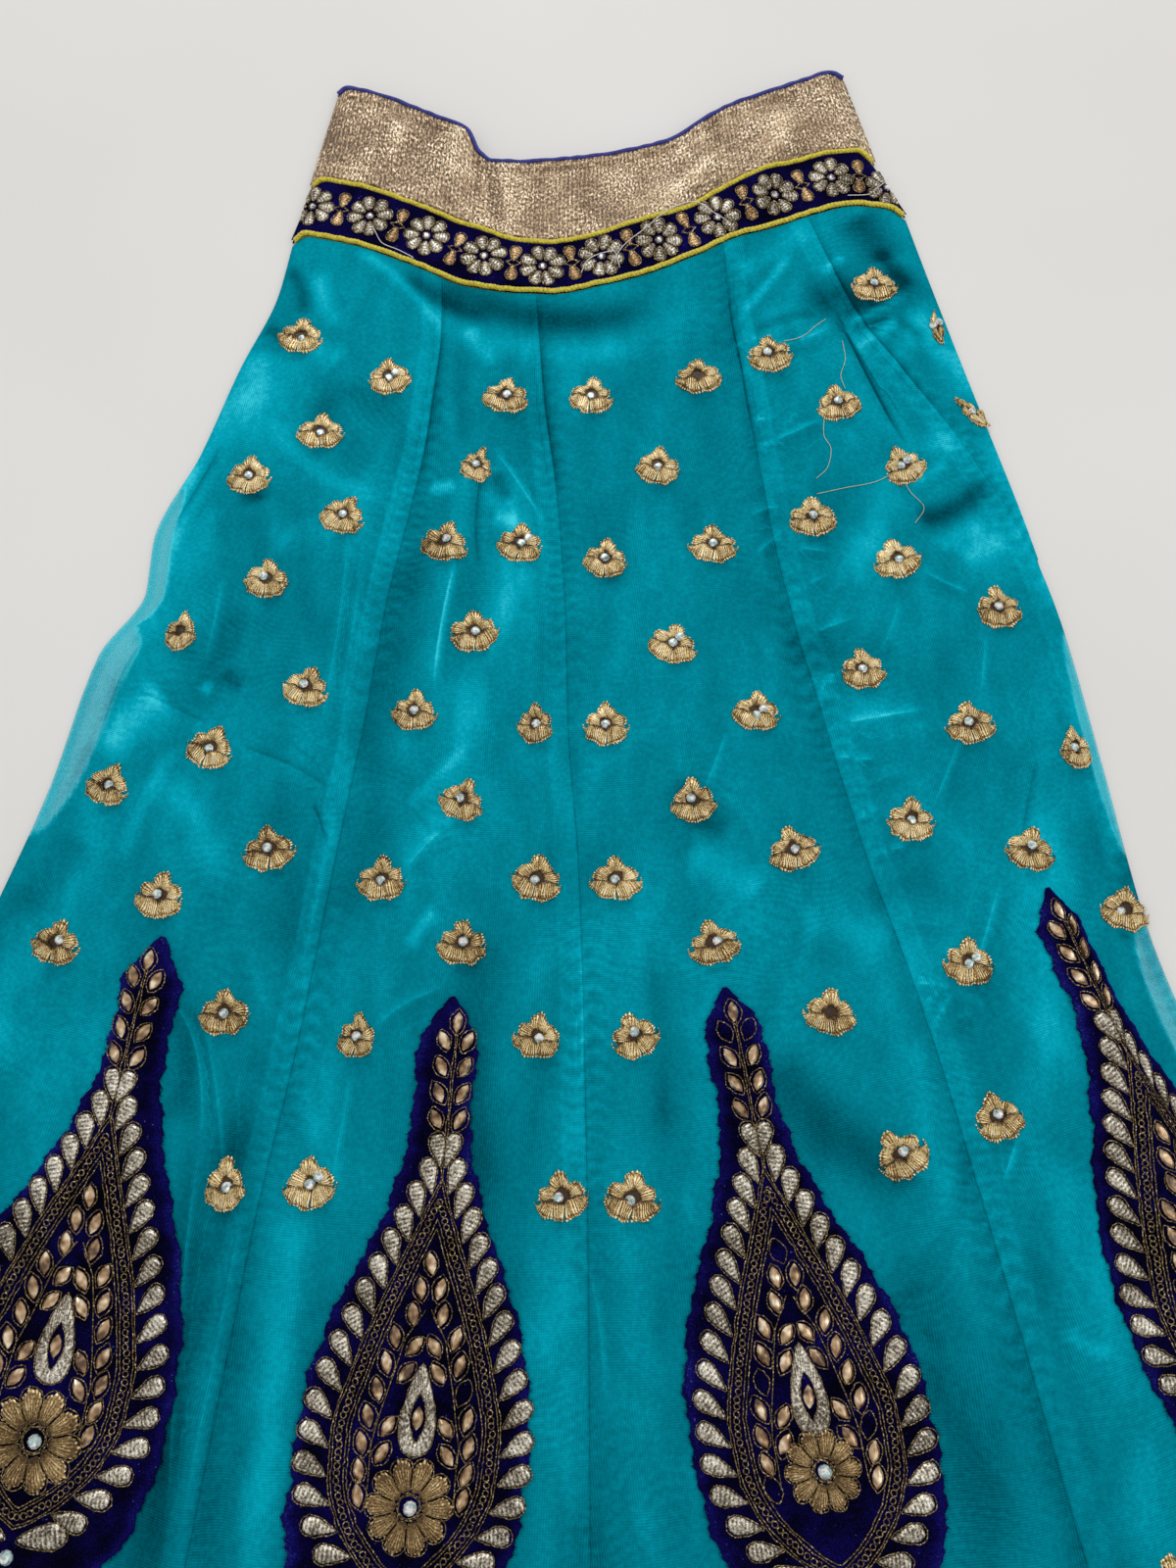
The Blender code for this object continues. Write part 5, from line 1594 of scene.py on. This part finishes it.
def motif_layout(flower_down, flower_size):
    """Places and turns of every repeated shape, and the lines of every cord, flat in the motif."""
    cords = [closed_border(inset) for inset in BORDER_INSETS]
    stem_down = np.linspace(0.01, 0.092, 24)
    petals, leaves = [], []

    def add_stone(x, up, lean):
        leaves.append((np.array((x, up)), np.array((lean, 1.0))))

    for side in (-1, 1):
        cords.append(np.column_stack([side * (0.0006 + 0.0003 * np.sin(stem_down * 400)), -stem_down]))
        round_border = walk_line(border_line(-0.0009), PETAL_STEP, 0.0088)
        for spot in np.concatenate([[(0.0011, -0.0842)], round_border]):
            if -spot[1] < 0.272:
                aim = aimed(side, float(petal_rise(-spot[1])))
                petals.append((spot * (side, 1) + aim * (PETAL_SIZE[0] / 2 - 0.0004), turn_of(aim)))
    # Stones up the stem, and down two vines inside the border.
    add_stone(0.0, -0.013, 0.08)
    for down in STEM_STONES:
        for side in (-1, 1):
            add_stone(side * 0.006, -down, side * 0.5)
    add_stone(-0.001, -0.129, -0.25)
    for down, reach in BUD_STONES:
        for side in (-1, 1):
            add_stone(side * reach, -down, side * 0.2)
    inner = border_line(BORDER_INSETS[-1])
    vine_down = 0.1635 + VINE_STEP * np.arange(6)
    share = np.minimum(0.45 + 0.22 * (vine_down - 0.155) / 0.06, 0.66)
    reach = share * np.interp(vine_down, -inner[:, 1], inner[:, 0])
    for side in (-1, 1):
        path = np.column_stack([side * reach, -vine_down])
        cords.append(np.concatenate([[(side * 0.0015, -0.15)], path, [(side * 0.0205, -0.232)]]))
        for x, up in path:
            add_stone(x + side * 0.005, up + 0.001, side * 0.28)
            add_stone(x - side * 0.005, up - 0.0028, -side * 0.7)
        add_stone(side * 0.0245, -0.2315, side * 0.3)
    flower = np.array((0.0, -flower_down))
    drop = flower + (0, DROP_ABOVE_FLOWER * flower_size)
    cords += [turned_line(drop_outline(*PETAL_SIZE), turn, spot) for spot, turn in petals]
    stones = []
    for spot, aim in leaves:
        off_drop = np.abs(spot - drop) / (0.0125, 0.03)
        if np.hypot(*(spot - flower)) > 0.0205 * flower_size and off_drop.sum() > 1:
            lean = 0.16 * math.sin(len(stones) * 2.3 + 90 * flower_down)
            outline = almond_outline(*STONE_OUTLINE) * (1 + 0.5 * lean)
            cords.append(turned_line(outline, turn_of(aim) + lean, spot))
            stones.append((spot, turn_of(aim)))
    ring = drop_outline(DROP_RING[0] + 0.0008, DROP_RING[1] + 0.0004, 26, 0.75)
    cords += [line * (1, -1) + drop for line in (ring, almond_outline(*DROP_HOLE, 20) + (0, 0.0035))]
    feet = []
    for side in (-1, 1):
        aim = aimed(side, LEAF_RISE)
        feet.append((np.array((side * 0.0022, -0.279)) + aim * LEAF_SIZE[0] / 2, turn_of(aim)))
    cords += [turned_line(drop_outline(*LEAF_SIZE, 22, 0.7), turn, spot) for spot, turn in feet]
    petals.append((np.array((0.0, -0.2995)), turn_of((0.0, -1.0))))
    cords.append(turned_line(drop_outline(*PETAL_SIZE), math.pi, petals[-1][0]))
    turns = 2 * math.pi * (np.arange(10) + 0.5) / 10
    ways = np.column_stack([-np.sin(turns), np.cos(turns)])
    flower_petals = list(zip(flower + flower_size * FLOWER_REACH * ways, turns))
    outline = drop_outline(*FLOWER_PETAL, 16, 0.5) * flower_size
    cords += [turned_line(outline, turn, spot) for spot, turn in flower_petals]
    circle = 2 * math.pi * np.linspace(0, 1, 25)[:, None]
    for radius in (0.0056, 0.0049):
        cords.append(flower + radius * flower_size * np.hstack([np.sin(circle), np.cos(circle)]))
    return cords, petals, stones, feet, flower, drop, flower_petals


def motif_place(number, x, y, z, lift):
    """Where a point of the flat motif goes on its teardrop."""
    side = x + TEARDROP_PLACES[number][5]
    return *teardrop_place(number, side, -y), velvet_height(number, side, -y) + z + lift


def varied_sizes(count, least, greatest):
    """A chance width and length for each of many pieces, all equally thick."""
    return np.column_stack([chance.uniform(least, greatest, (count, 2)), np.ones(count)])


ring_places = walk_line(closed_border(RING_INSET), RING_STEP)
chance = np.random.default_rng(MOTIF_SEED)
for number, (name, *_, flower_down, flower_size) in enumerate(TEARDROP_PLACES):
    cords, petals, stones, feet, flower, drop, flower_petals = motif_layout(flower_down, flower_size)
    wavy = []
    for line in cords:
        sway = chance.normal(0, 0.00022, line.shape)
        sway[-1] = sway[0] if is_closed(line) else sway[-1]
        wavy.append(line + sway)
    petal_sizes = varied_sizes(len(petals), 0.92, 1.05)
    kept = chance.uniform(size=len(stones)) > 0.09
    jewels = [stone for stone, keep in zip(stones, kept) if keep]
    jewels.append((drop + (0.0, -0.0035), turn_of((0.05, 1.0))))
    spots = ring_places + chance.normal(0, 0.00022, ring_places.shape)
    rings = list(zip(spots, chance.uniform(0, 6, len(spots))))
    opals = (flower + (0.0006, -0.0004), 0.2), ((0.0, -0.2862), 0.5)
    flat_size = flower_size, flower_size, 1.0
    layout = (
        # Name, shape, finish, slot, where each goes, its size, how much it is turned by chance, the
        # seed of that and how far it lifts.
        ("petals", silver_petal, silver, "silver_thread", petals, petal_sizes, 0.05, number, 0.0),
        ("foot_leaves", foot_leaf, silver, "silver_thread", feet, 1.0, 0.0, 1, 0.0),
        ("drop", drop_ring, silver, "silver_thread", [(drop, math.pi)], 1.0, 0.0, 1, 0.0),
        ("stones", almond_stone, champagne, "stone", jewels, 1.0, 0.1, 9 + number, 0.0002),
        ("rings", ring_shape, gold_cord, "gold_thread", rings, 1.0, 0.0, 1, 0.0),
        ("flower", gold_petal, satin_gold, "gold_thread", flower_petals, flat_size, 0.0, 1, 0.0),
        ("opals", flower_stone, opal_stone, "stone", opals, 1.0, 0.0, 1, 0.0004),
    )
    laid = [(couch_cords(name + "_cords", wavy, gold_cord), "gold_thread", 0.0)]
    for kind, shape, finish, slot, spots, sizes, jitter, seed, lift in layout:
        thing = lay_pieces(f"{name}_{kind}", shape, finish, *zip(*spots), sizes, jitter, seed)
        laid.append((thing, slot, lift))
    for thing, slot, lift in laid:
        move_points(thing, lambda x, y, z: motif_place(number, x, y, z, lift))
        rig.ride(thing, "root")
        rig.slot(thing, slot)

# ---- Waistband ----
# A stiff band of gold tissue, ribbed from top to bottom and full of metal flecks, folded flat at the
# sides. One line of stitches holds its turned top edge, and it buckles a little where it closes.

BAND = 0.0018
BAND_CUT = (0.345, 0.064)
PIPING_RADIUS = 0.0015
BAND_EDGE_TOP = 2 * BAND + GAP
WAIST_ENDS = {"lower": (-0.175, 0.208), "upper": (-0.166, 0.191), "top": (-0.154, 0.176)}
BAND_FOLDS = (
    # Creases crushed into the band: the ends of each in millimetres, tenths of how much paler it is painted
    # (a painted sheen, and painted shade where negative), and half its width.
    (-118, 505, -128, 455, -10, 3), (-104, 500, -116, 452, 8, 4), (-87, 498, -98, 450, -9, 3.5),
    (-74, 492, -80, 446, 9, 4), (-62, 484, -58, 430, -16, 3.2), (-50, 464, -44, 425, 8, 6),
    (-20, 458, -28, 412, -7, 5), (4, 455, 12, 412, -6, 4.5), (50, 430, 100, 478, 14, 5),
    (60, 423, 108, 468, -11, 4), (80, 440, 126, 486, 11, 4.5), (100, 440, 140, 478, -8, 3.5),
    (130, 508, 126, 462, 8, 6), (-150, 512, -160, 462, -13, 14), (-122, 500, -122, 440, -8, 20),
    (-96, 500, -92, 440, -7, 12), (-70, 450, -52, 420, -8, 10), (-10, 452, 30, 422, -8, 9),
    (30, 425, 70, 452, 10, 7), (100, 500, 140, 500, 7, 12), (62, 462, 90, 492, 10, 6),
    (120, 452, 156, 470, -10, 7),
)
RIB_PITCH = 0.0025
RIB_HEIGHT = 0.00032
CRUSH = 0.00035
BAND_LEVELS = 40
STITCH_LINE = 0.0062
STITCH_LENGTH = 0.0024


def waist_line(cord, shares, moved=0.0):
    """The line of one piping across the waist, moved square to itself towards the hem."""
    left, right = WAIST_ENDS[cord]
    line = np.stack([left + (right - left) * shares, waist_up[cord](shares)], axis=1)
    run = np.gradient(line, axis=0)
    run /= np.linalg.norm(run, axis=1)[:, None]
    return line + moved * np.stack([run[:, 1], -run[:, 0]], axis=1)


def strip_plan(above, below, shares, levels):
    """Points in the plane between two pipings, and how far each lies from the side folds."""
    clear = PIPING_RADIUS + GAP
    high, low = waist_line(above, shares, clear), waist_line(below, shares, -clear)
    plan = high + (low - high) * np.linspace(0, 1, levels)[:, None, None]
    x, y = plan[..., 0], plan[..., 1]
    return x, y, np.minimum(x - x[:, :1], x[:, -1:] - x)


def band_height(x, y, from_side):
    """Top of the waist's strips: lower at their folded ends."""
    thin = (BAND - NET) * (1 - np.clip(from_side / NET_MARGIN, 0, 1))
    return front_height(x, y, from_side, BAND_EDGE_TOP) + BAND - NET - thin


tissue = Finish("gold_tissue", Metallic=0.3, Roughness=0.44)
weave = tissue.add("ShaderNodeUVMap", uv_map="weave")
along = tissue.add("ShaderNodeSeparateXYZ", {"Vector": weave}, "X")
rib = tissue.math("SINE", tissue.product(along, 2 * math.pi / RIB_PITCH))
flecks = tissue.noise(900.0, 1.0, 0.6, tissue.stretched(weave, 0.55))
patches = tissue.noise(42.0, 4.0, 0.65)
# Metal flecks, lighter and darker in patches: their own colour, with painted glints.
sparkle = tissue.clamp(tissue.scaled(patches, 5.6, -0.9), 0.8, 3.4)
tone = tissue.product(tissue.math("SUBTRACT", flecks, 0.5), sparkle)
# The lift mark adds painted sheen and shade along the creases, and the crest mark painted highlight on crests and
# crushed bumps.
tone = tissue.blend(
    tissue.math("ADD", tissue.product(tone, 1.25), 0.42),
    (patches, 0.55, 0.5),
    (tissue.mark("lift"), 0.12),
    (rib, 0.09),
    (tissue.mark("crest"), 0.14),
)
tissue.paint(
    tone,
    (0.1, 0.08, 0.046, 0.022),
    (0.36, 0.265, 0.175, 0.096),
    (0.56, 0.43, 0.31, 0.19),
    (0.78, 0.76, 0.6, 0.39),
    (0.98, 1.0, 0.93, 0.76),
)
tissue.emboss(flecks, 0.0004, 0.6)

for *ends, amount, half_width in np.array(BAND_FOLDS) / ((1000,) * 4 + (10, 1000)):
    line = np.linspace(ends[:2], ends[2:], 8)
    raise_fold(shade_and_paleness_field, line, amount, half_width)
    raise_fold(fold_field, line, 0.0005 * amount, half_width)
ribs = int((WAIST_ENDS["top"][1] - WAIST_ENDS["top"][0]) / RIB_PITCH)
shares = np.linspace(0, 1, ribs * 4 + 1)
for side in ("front", "back"):
    x, y, from_side = strip_plan("top", "upper", shares, BAND_LEVELS if side == "front" else 14)
    along = shares[None, :] * ribs * RIB_PITCH + 0 * x
    depth = np.linspace(0, 1, len(x))[:, None] * 0.06 + 0 * x
    z = 0.0004 + (ribbed := RIB_HEIGHT * 0.5 * np.sin(2 * math.pi * along / RIB_PITCH))
    turned_edge = 0.0007 * ease((STITCH_LINE - depth) / 0.0012)
    turned_edge -= 0.0006 * np.exp(-(((depth - STITCH_LINE) / 0.0011) ** 2))
    crush = np.sin(along * 310 + 3 * np.sin(depth * 190))
    crush *= np.sin(depth * 260 + 2.5 * np.sin(along * 85))
    # Painted highlight and shade: paler on the crests and the crushed bumps, darker between them.
    marks = {"crest": read_field(crest_shading_field, x, y) + 0.5 * crush, "lift": 0 * x}
    if side == "front":
        worked = (turned_edge + CRUSH * crush) * ease(from_side / 0.01)
        z = band_height(x, y, from_side) + ribbed + worked
        marks["lift"] = read_field(shade_and_paleness_field, x, y)
    points, weave = np.stack([x, y, z], axis=2), np.stack([along, depth], axis=2)
    name = f"tissue_band_{side}"
    strip = cloth_sheet(name, tissue.material, points, weave, 0.0008, marks, side == "back")
    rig.ride(strip, "root")
    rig.slot(strip, "gold_tissue")
    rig.replaces(strip, f"waistband_{side}")
    under = "tissue_band_back" if side == "front" else "floor"
    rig.sheet(strip, flat=BAND_CUT, held="laid", area=BAND_CUT[0] * BAND_CUT[1] * 0.98, rests_on=[under])

seam_thread = Finish("brown_seam_thread", Roughness=0.6, Base_Color=(0.2, 0.115, 0.055, 1.0)).material
line = waist_line("top", np.linspace(0.004, 0.996, 700), PIPING_RADIUS + GAP + STITCH_LINE)
length = lengths_along(line)
stitches = []
for start in np.arange(0.001, length[-1] - STITCH_LENGTH, STITCH_LENGTH * 1.3):
    share = np.linspace(0, 1, 5)
    x, y = (np.interp(start + STITCH_LENGTH * share, length, column) for column in line.T)
    from_side = np.minimum(x - line[0, 0], line[-1, 0] - x)
    lift = 0.0003 * np.sin(math.pi * share) - 0.00035
    stitches.append(np.column_stack([x, y, band_height(x, y, from_side) + lift]))
sizes = {"radius": 0.00022, "sides": 5, "step": 0.0006, "turn": 0.5}
band_stitches = couch_cords("band_stitches", stitches, seam_thread, **sizes)
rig.ride(band_stitches, "root")
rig.slot(band_stitches, "gold_tissue")

# ---- Flower trim ----
# A strip of navy velvet between two yellow pipings, worked with padded silver flowers of eight
# petals round a clear stone, and pairs of padded gold leaves tied between them by crossed cord.

FLOWERS = 11
FLOWER_FIRST = 0.019
FLOWER_STEP = 0.0977
TRIM_CUT = (0.372, 0.039)
TRIM_REACH = 0.0093
TRIM_PETAL = (0.0092, 0.0034)
LEAF_SPREAD = 0.0064
TRIM_LEAF = (0.0106, 0.0034)
TRIM_LEVELS = 44
TRIM_STATIONS = 250
TRIM_SEED = 41
TIE_REACH = 0.0046
LINE_POINTS = 60

glass = {"Metallic": 0.35, "Roughness": 0.08, "Coat_Weight": 1.0, "Coat_Roughness": 0.03}
milky, clear = (0.45, 0.66, 0.68, 0.74), (0.6, 0.92, 0.93, 0.95)
clear_stone = patchy_finish("clear_glass_stone", 520.0, (0.3, 0.1, 0.1, 0.2), milky, clear, **glass)
peach_thread = thread_finish(
    "peach_gold_thread", 0.5, 0.4, 900.0, 0.42,
    (0.12, 0.075, 0.034, 0.01),
    (0.36, 0.3, 0.17, 0.065),
    (0.56, 0.56, 0.36, 0.17),
    (0.76, 0.86, 0.64, 0.38),
    (0.94, 1.0, 0.9, 0.68),
)

trim_petal = padded_petal("trim_petal_shape", *TRIM_PETAL, 11, 6, 0.0018, 0.00034, 21, 0.62)
trim_leaf = padded_petal("trim_leaf_shape", *TRIM_LEAF, 13, 6, 0.0014, 0.00018, 22, 0.95)
clear_shape = cut_stone("clear_stone_shape", 0.0018, 0.0018, 0.0014, 8)

low, high = (waist_line(cord, np.linspace(0, 1, LINE_POINTS)) for cord in ("lower", "upper"))
middle_line = (low + high) / 2
trim_side = {"left": (low[0], high[0]), "right": (low[-1], high[-1])}


def trim_edge(side, y):
    (low_x, low_y), (high_x, high_y) = trim_side[side]
    return low_x + (high_x - low_x) * (y - low_y) / (high_y - low_y)


def trim_place(share):
    """A point on the trim's middle line, and the turn of the trim there."""
    at, points = share * (LINE_POINTS - 1), np.arange(LINE_POINTS)
    spot = np.array([np.interp(at, points, column) for column in middle_line.T])
    run = [np.interp(at, points, np.gradient(column)) for column in middle_line.T]
    return spot, math.atan2(run[1], run[0])


def on_trim(x, y, z, lift):
    """Where a point of the flat layout goes on the trim: past a side fold it turns down over it."""
    left, right = trim_edge("left", y), trim_edge("right", y)
    over = np.maximum(np.maximum(left - x, x - right), 0.0)
    x = np.clip(x, left, right)
    from_side = np.minimum(x - left, right - x)
    return x, y, band_height(x, y, from_side) + z * (over < 0.001) + lift - np.minimum(over, 0.0028)


def under_trim(x, y, z):
    return np.clip(x, trim_edge("left", y) + 0.0005, trim_edge("right", y) - 0.0005), y, z


chance = np.random.default_rng(TRIM_SEED)
petals, leaves, stones, trim_cords = [], [], [], []
petal_outline = drop_outline(TRIM_PETAL[0] + 0.0008, TRIM_PETAL[1] + 0.0003, 12, 0.62)
leaf_outline = drop_outline(TRIM_LEAF[0] + 0.0008, TRIM_LEAF[1] + 0.0003, 11, 0.95)
circle = 2 * math.pi * np.linspace(0, 1, 15)
for flower in range(FLOWERS):
    share = FLOWER_FIRST + FLOWER_STEP * flower
    spot, turn = trim_place(share)
    spot = spot + chance.normal(0, 0.0004, 2)
    turn += chance.normal(0, 0.06)
    for petal in range(8):
        aim = turn + (petal + 0.5) * math.pi / 4 + chance.normal(0, 0.035) - math.pi / 2
        place = spot + (TRIM_REACH + chance.normal(0, 0.0002)) * square_to(aim)
        petals.append((place, aim))
        trim_cords.append(turned_line(petal_outline, aim, place))
    trim_cords.append(spot + 0.0023 * np.column_stack([np.cos(circle), np.sin(circle)]))
    stones.append((spot, turn))
    if flower + 1 == FLOWERS:
        continue
    spot, turn = trim_place(share + FLOWER_STEP / 2)
    for side in (-1, 1):
        lean = turn + chance.normal(0, 0.1) + (math.pi if side < 0 else 0.0)
        place = spot + side * square_to(turn) * LEAF_SPREAD
        leaves.append((place, lean))
        trim_cords.append(turned_line(leaf_outline, lean, place))
        for across in (-1, 1):
            reach = np.linspace(0, 1, 7)[:, None]
            tie = across * heading_to(turn) * (TIE_REACH * (1 - reach) + 0.0003)
            trim_cords.append(spot + tie + side * square_to(turn) * (0.0012 + 0.0018 * reach) * reach)
layout = (
    # Name, shape, finish, where each goes, its slot, and how far it lifts.
    ("trim_petals", trim_petal, silver, petals, "silver_thread", 0.0),
    ("trim_leaves", trim_leaf, peach_thread, leaves, "gold_thread", 0.0),
    ("trim_stones", clear_shape, clear_stone, stones, "stone", 0.0004),
)
shares = np.linspace(0, 1, TRIM_STATIONS)
for side in ("front", "back"):
    x, y, from_side = strip_plan("upper", "lower", shares, TRIM_LEVELS if side == "front" else 10)
    z = band_height(x, y, from_side) if side == "front" else 0.0004 + 0 * x
    points, weave = np.stack([x, y, z], axis=2), np.stack([x, y], axis=2)
    # The trim's velvet takes the same painted shade evenly, between its raised flowers and leaves.
    worked = {"worked": 0.75 + 0 * x}
    name = f"velvet_trim_{side}"
    strip = cloth_sheet(name, velvet.material, points, weave, 0.0008, worked, side == "back")
    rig.ride(strip, "root")
    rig.slot(strip, "navy_velvet")
    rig.replaces(strip, f"trim_{side}")
    under = "velvet_trim_back" if side == "front" else "floor"
    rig.sheet(strip, flat=TRIM_CUT, held="laid", area=TRIM_CUT[0] * TRIM_CUT[1] * 0.95, rests_on=[under])
    cords = couch_cords(f"trim_cords_{side}", trim_cords, gold_cord, radius=0.00054, step=0.0012)
    pieces = [(cords, "gold_thread", 0.0)]
    for name, shape, finish, places, slot, lift in layout:
        sizes = varied_sizes(len(places), 0.94, 1.05)
        thing = lay_pieces(f"{name}_{side}", shape, finish, *zip(*places), sizes, 0.05)
        pieces.append((thing, slot, lift))
    for thing, slot, lift in pieces:
        if side == "front":
            move_points(thing, lambda x, y, z: on_trim(x, y, z, lift))
        else:
            move_points(thing, under_trim)
            flat_on_back(thing)
        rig.ride(thing, "root")
        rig.slot(thing, slot)

# ---- Pipings ----
# Three round cords run along the waist, front and back: navy at the top edge, covered in ribbed
# tape, and twisted yellow silk above and below the trim.


def piping_finish(name, scale, dark, light):
    cord = Finish(name, Roughness=0.62, Sheen_Weight=0.25, Sheen_Roughness=0.4)
    fibre = cord.noise(scale, 2.0, 0.6)
    cord.paint(fibre, (0.32, *dark), (0.66, *light))
    cord.emboss(fibre, 0.0003, 0.5)
    return cord.material


yellow_silk = piping_finish("yellow_silk_cord", 800.0, (0.4, 0.3, 0.01), (0.8, 0.69, 0.06))
navy_tape = piping_finish("navy_ribbed_tape", 700.0, (0.006, 0.007, 0.075), (0.028, 0.04, 0.36))
CORD_STANDS_UP = 0.0004
PIPINGS = (
    # Line, finish, slot, radius, sides, step, turn for each step, strands and how deep they are.
    ("top", navy_tape, "navy_piping", 0.0014, 16, 0.0008, 0.95, 4, 0.05),
    ("upper", yellow_silk, "yellow_piping", 0.0015, 18, 0.0006, 0.52, 3, 0.075),
    ("lower", yellow_silk, "yellow_piping", 0.0015, 18, 0.0006, 0.52, 3, 0.075),
)
for cord, finish, slot, radius, sides, step, turn, strands, lobe in PIPINGS:
    for side, coarser in (("front", 1), ("back", 2)):
        x, y = waist_line(cord, np.linspace(0.003, 0.997, 240)).T
        from_side = np.minimum(x - x[0], x[-1] - x)
        z = np.full(len(x), radius * (1 + lobe) + 0.0001)
        if side == "front":
            z = front_height(x, y, from_side, FRONT_TOP) + CORD_STANDS_UP
            z -= 0.0016 * (1 - ease(from_side / 0.006))
        waver = 0.00025 * np.sin(x * 470 + 2 * np.sin(x * 130)) * ease(from_side / 0.02)
        lines = [np.column_stack([x, y + waver, z])]
        sizes = dict(zip(CORD, (radius, sides, coarser * step, coarser * turn, strands, lobe)))
        piping = couch_cords(f"{cord}_cord_{side}", lines, finish, **sizes)
        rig.ride(piping, "root")
        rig.slot(piping, slot)
        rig.replaces(piping, f"{cord}_piping_{side}")

# ---- Loose threads ----
# Ends of white tacking thread that were never trimmed lie across the trim, and a few ends of gold
# embroidery thread trail on the net.

THREAD_RADII = {"white": 0.00024, "gold": 0.00017}
THREAD_ROWS = (
    # Colour, and the points that a thread passes on the table, in millimetres.
    ("white", -124.7, 413.5, -118, 402, -108, 397, -98.5, 390.5),
    ("white", 22.5, 385.5, 30, 397, 44, 409, 60, 423.5, 75, 430, 90, 421.5, 100, 414),
    ("white", 5, 380.5, 8.5, 388.5, 16.5, 393.5, 24.5, 395, 28.5, 384.5),
    ("white", 172, 438.5, 184, 439.5, 194, 447, 200, 454.5),
    ("gold", 153.5, 348.5, 147, 343, 137.5, 334.5, 127, 331.5),
    ("gold", 163, 334, 164, 322, 160.5, 309, 162.5, 300.5),
    ("gold", 149, 281.5, 148, 269, 151.5, 259, 149, 247, 142, 239.5),
    ("gold", 142, 230, 158, 234, 176, 238, 189.5, 245.5),
    ("gold", 190, 248, 196.5, 232, 204, 222, 198, 212),
)
white, gold = (0.72, 0.7, 0.7, 1.0), (0.66, 0.56, 0.36, 1.0)
thread_finishes = {
    "white": Finish("white_tacking_thread", Roughness=0.6, Base_Color=white).material,
    "gold": Finish("loose_gold_thread", Metallic=0.4, Roughness=0.45, Base_Color=gold).material,
}


def above_piping(x, y):
    """How far a point lies above the lower piping's line."""
    left, right = WAIST_ENDS["lower"]
    return y - waist_up["lower"]((x - left) / (right - left))


def cloth_height(x, y):
    """Top of whatever cloth or piping a loose thread lies on."""
    above = above_piping(x, y)
    padding = 0.0015 * ease((above - 0.006) / 0.004)
    from_side = np.minimum(x - trim_edge("left", y), trim_edge("right", y) - x)
    top = np.where(above > 0.001, band_height(x, y, from_side) + padding, net_height(x, y))
    return top + 0.0022 * np.exp(-((above / 0.003) ** 2))


for number, (colour, *spots) in enumerate(THREAD_ROWS):
    spots = np.reshape(spots, (-1, 2)) / 1000
    run = lengths_along(spots)
    x, y = (smooth_table(run, column)(np.linspace(0, run[-1], 28)) for column in spots.T)
    path = np.column_stack([x, y, cloth_height(x, y) + 0.0006])
    radius = THREAD_RADII[colour]
    sizes = {"radius": radius, "sides": 6, "step": 0.0008, "turn": 0.3}
    thread = couch_cords(f"loose_thread_{number + 1}", [path], thread_finishes[colour], **sizes)
    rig.ride(thread, "root")
    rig.slot(thread, "loose_thread")
    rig.cord(
        thread,
        exit=tuple(path[0].tolist()),
        length=float(lengths_along(path)[-1]),
        diameter=2 * radius,
        far_end="bare",
        stiffness="limp",
        lay="loose",
        path=path.tolist(),
    )

# The shapes that are laid many times aren't pieces themselves.
for thing in list(bpy.data.objects):
    if thing.name.endswith("_shape"):
        bpy.data.objects.remove(thing, do_unlink=True)

# ---- Table, light and camera ----
# The skirt lies on a plain pale table under soft light from above the waist, and is looked down on
# from over its middle.

FLOOR_SIZE = 3.0
SOFT_LIGHTS = (
    # Place, size and power of each soft light; all look at the skirt's middle.
    ("window", (-0.25, 2.2, 2.3), 2.0, 27.0),
    ("fill", (1.6, -0.4, 2.2), 1.8, 8.0),
)
CAMERA_PLACE = (0.009, -0.11, 0.627)
CAMERA_TILT = math.radians(15)

table = Finish("table", Roughness=0.7)
table.paint(table.noise(3.0), (0.3, 0.7, 0.69, 0.67), (0.7, 0.74, 0.735, 0.725))
corners = [(x * FLOOR_SIZE, y * FLOOR_SIZE, 0.0) for x, y in ((-1, -1), (1, -1), (1, 1), (-1, 1))]
floor = mesh_object("floor", corners, [(0, 1, 2, 3)], table.material)
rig.stage(floor)

scene = bpy.context.scene
scene.view_settings.view_transform = "Standard"
world = bpy.data.worlds.new("studio")
world.use_nodes = True
background = world.node_tree.nodes["Background"].inputs
background["Color"].default_value = (1.0, 0.985, 0.97, 1.0)
background["Strength"].default_value = 0.72
scene.world = world

for name, place, size, power in SOFT_LIGHTS:
    light = bpy.data.lights.new(name, "AREA")
    light.shape, light.size, light.energy = "DISK", size, power
    lamp = in_scene(name, light)
    lamp.location = place
    x, y, z = (-value for value in place)
    lamp.rotation_euler = (math.atan2(math.hypot(x, y), -z), 0.0, math.atan2(x, -y) + math.pi)

camera_data = bpy.data.cameras.new("camera")
camera_data.lens = 27.09
camera_data.sensor_width = 36.0
camera_data.clip_start = 0.01
camera = in_scene("camera", camera_data)
camera.location = CAMERA_PLACE
camera.rotation_euler = (CAMERA_TILT, 0.0, 0.0)
scene.camera = camera

shown_box = [list(corner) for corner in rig.bounds()]
with open("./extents.json", "w") as out:
    json.dump({"cad": solid_box, "shown": shown_box}, out)
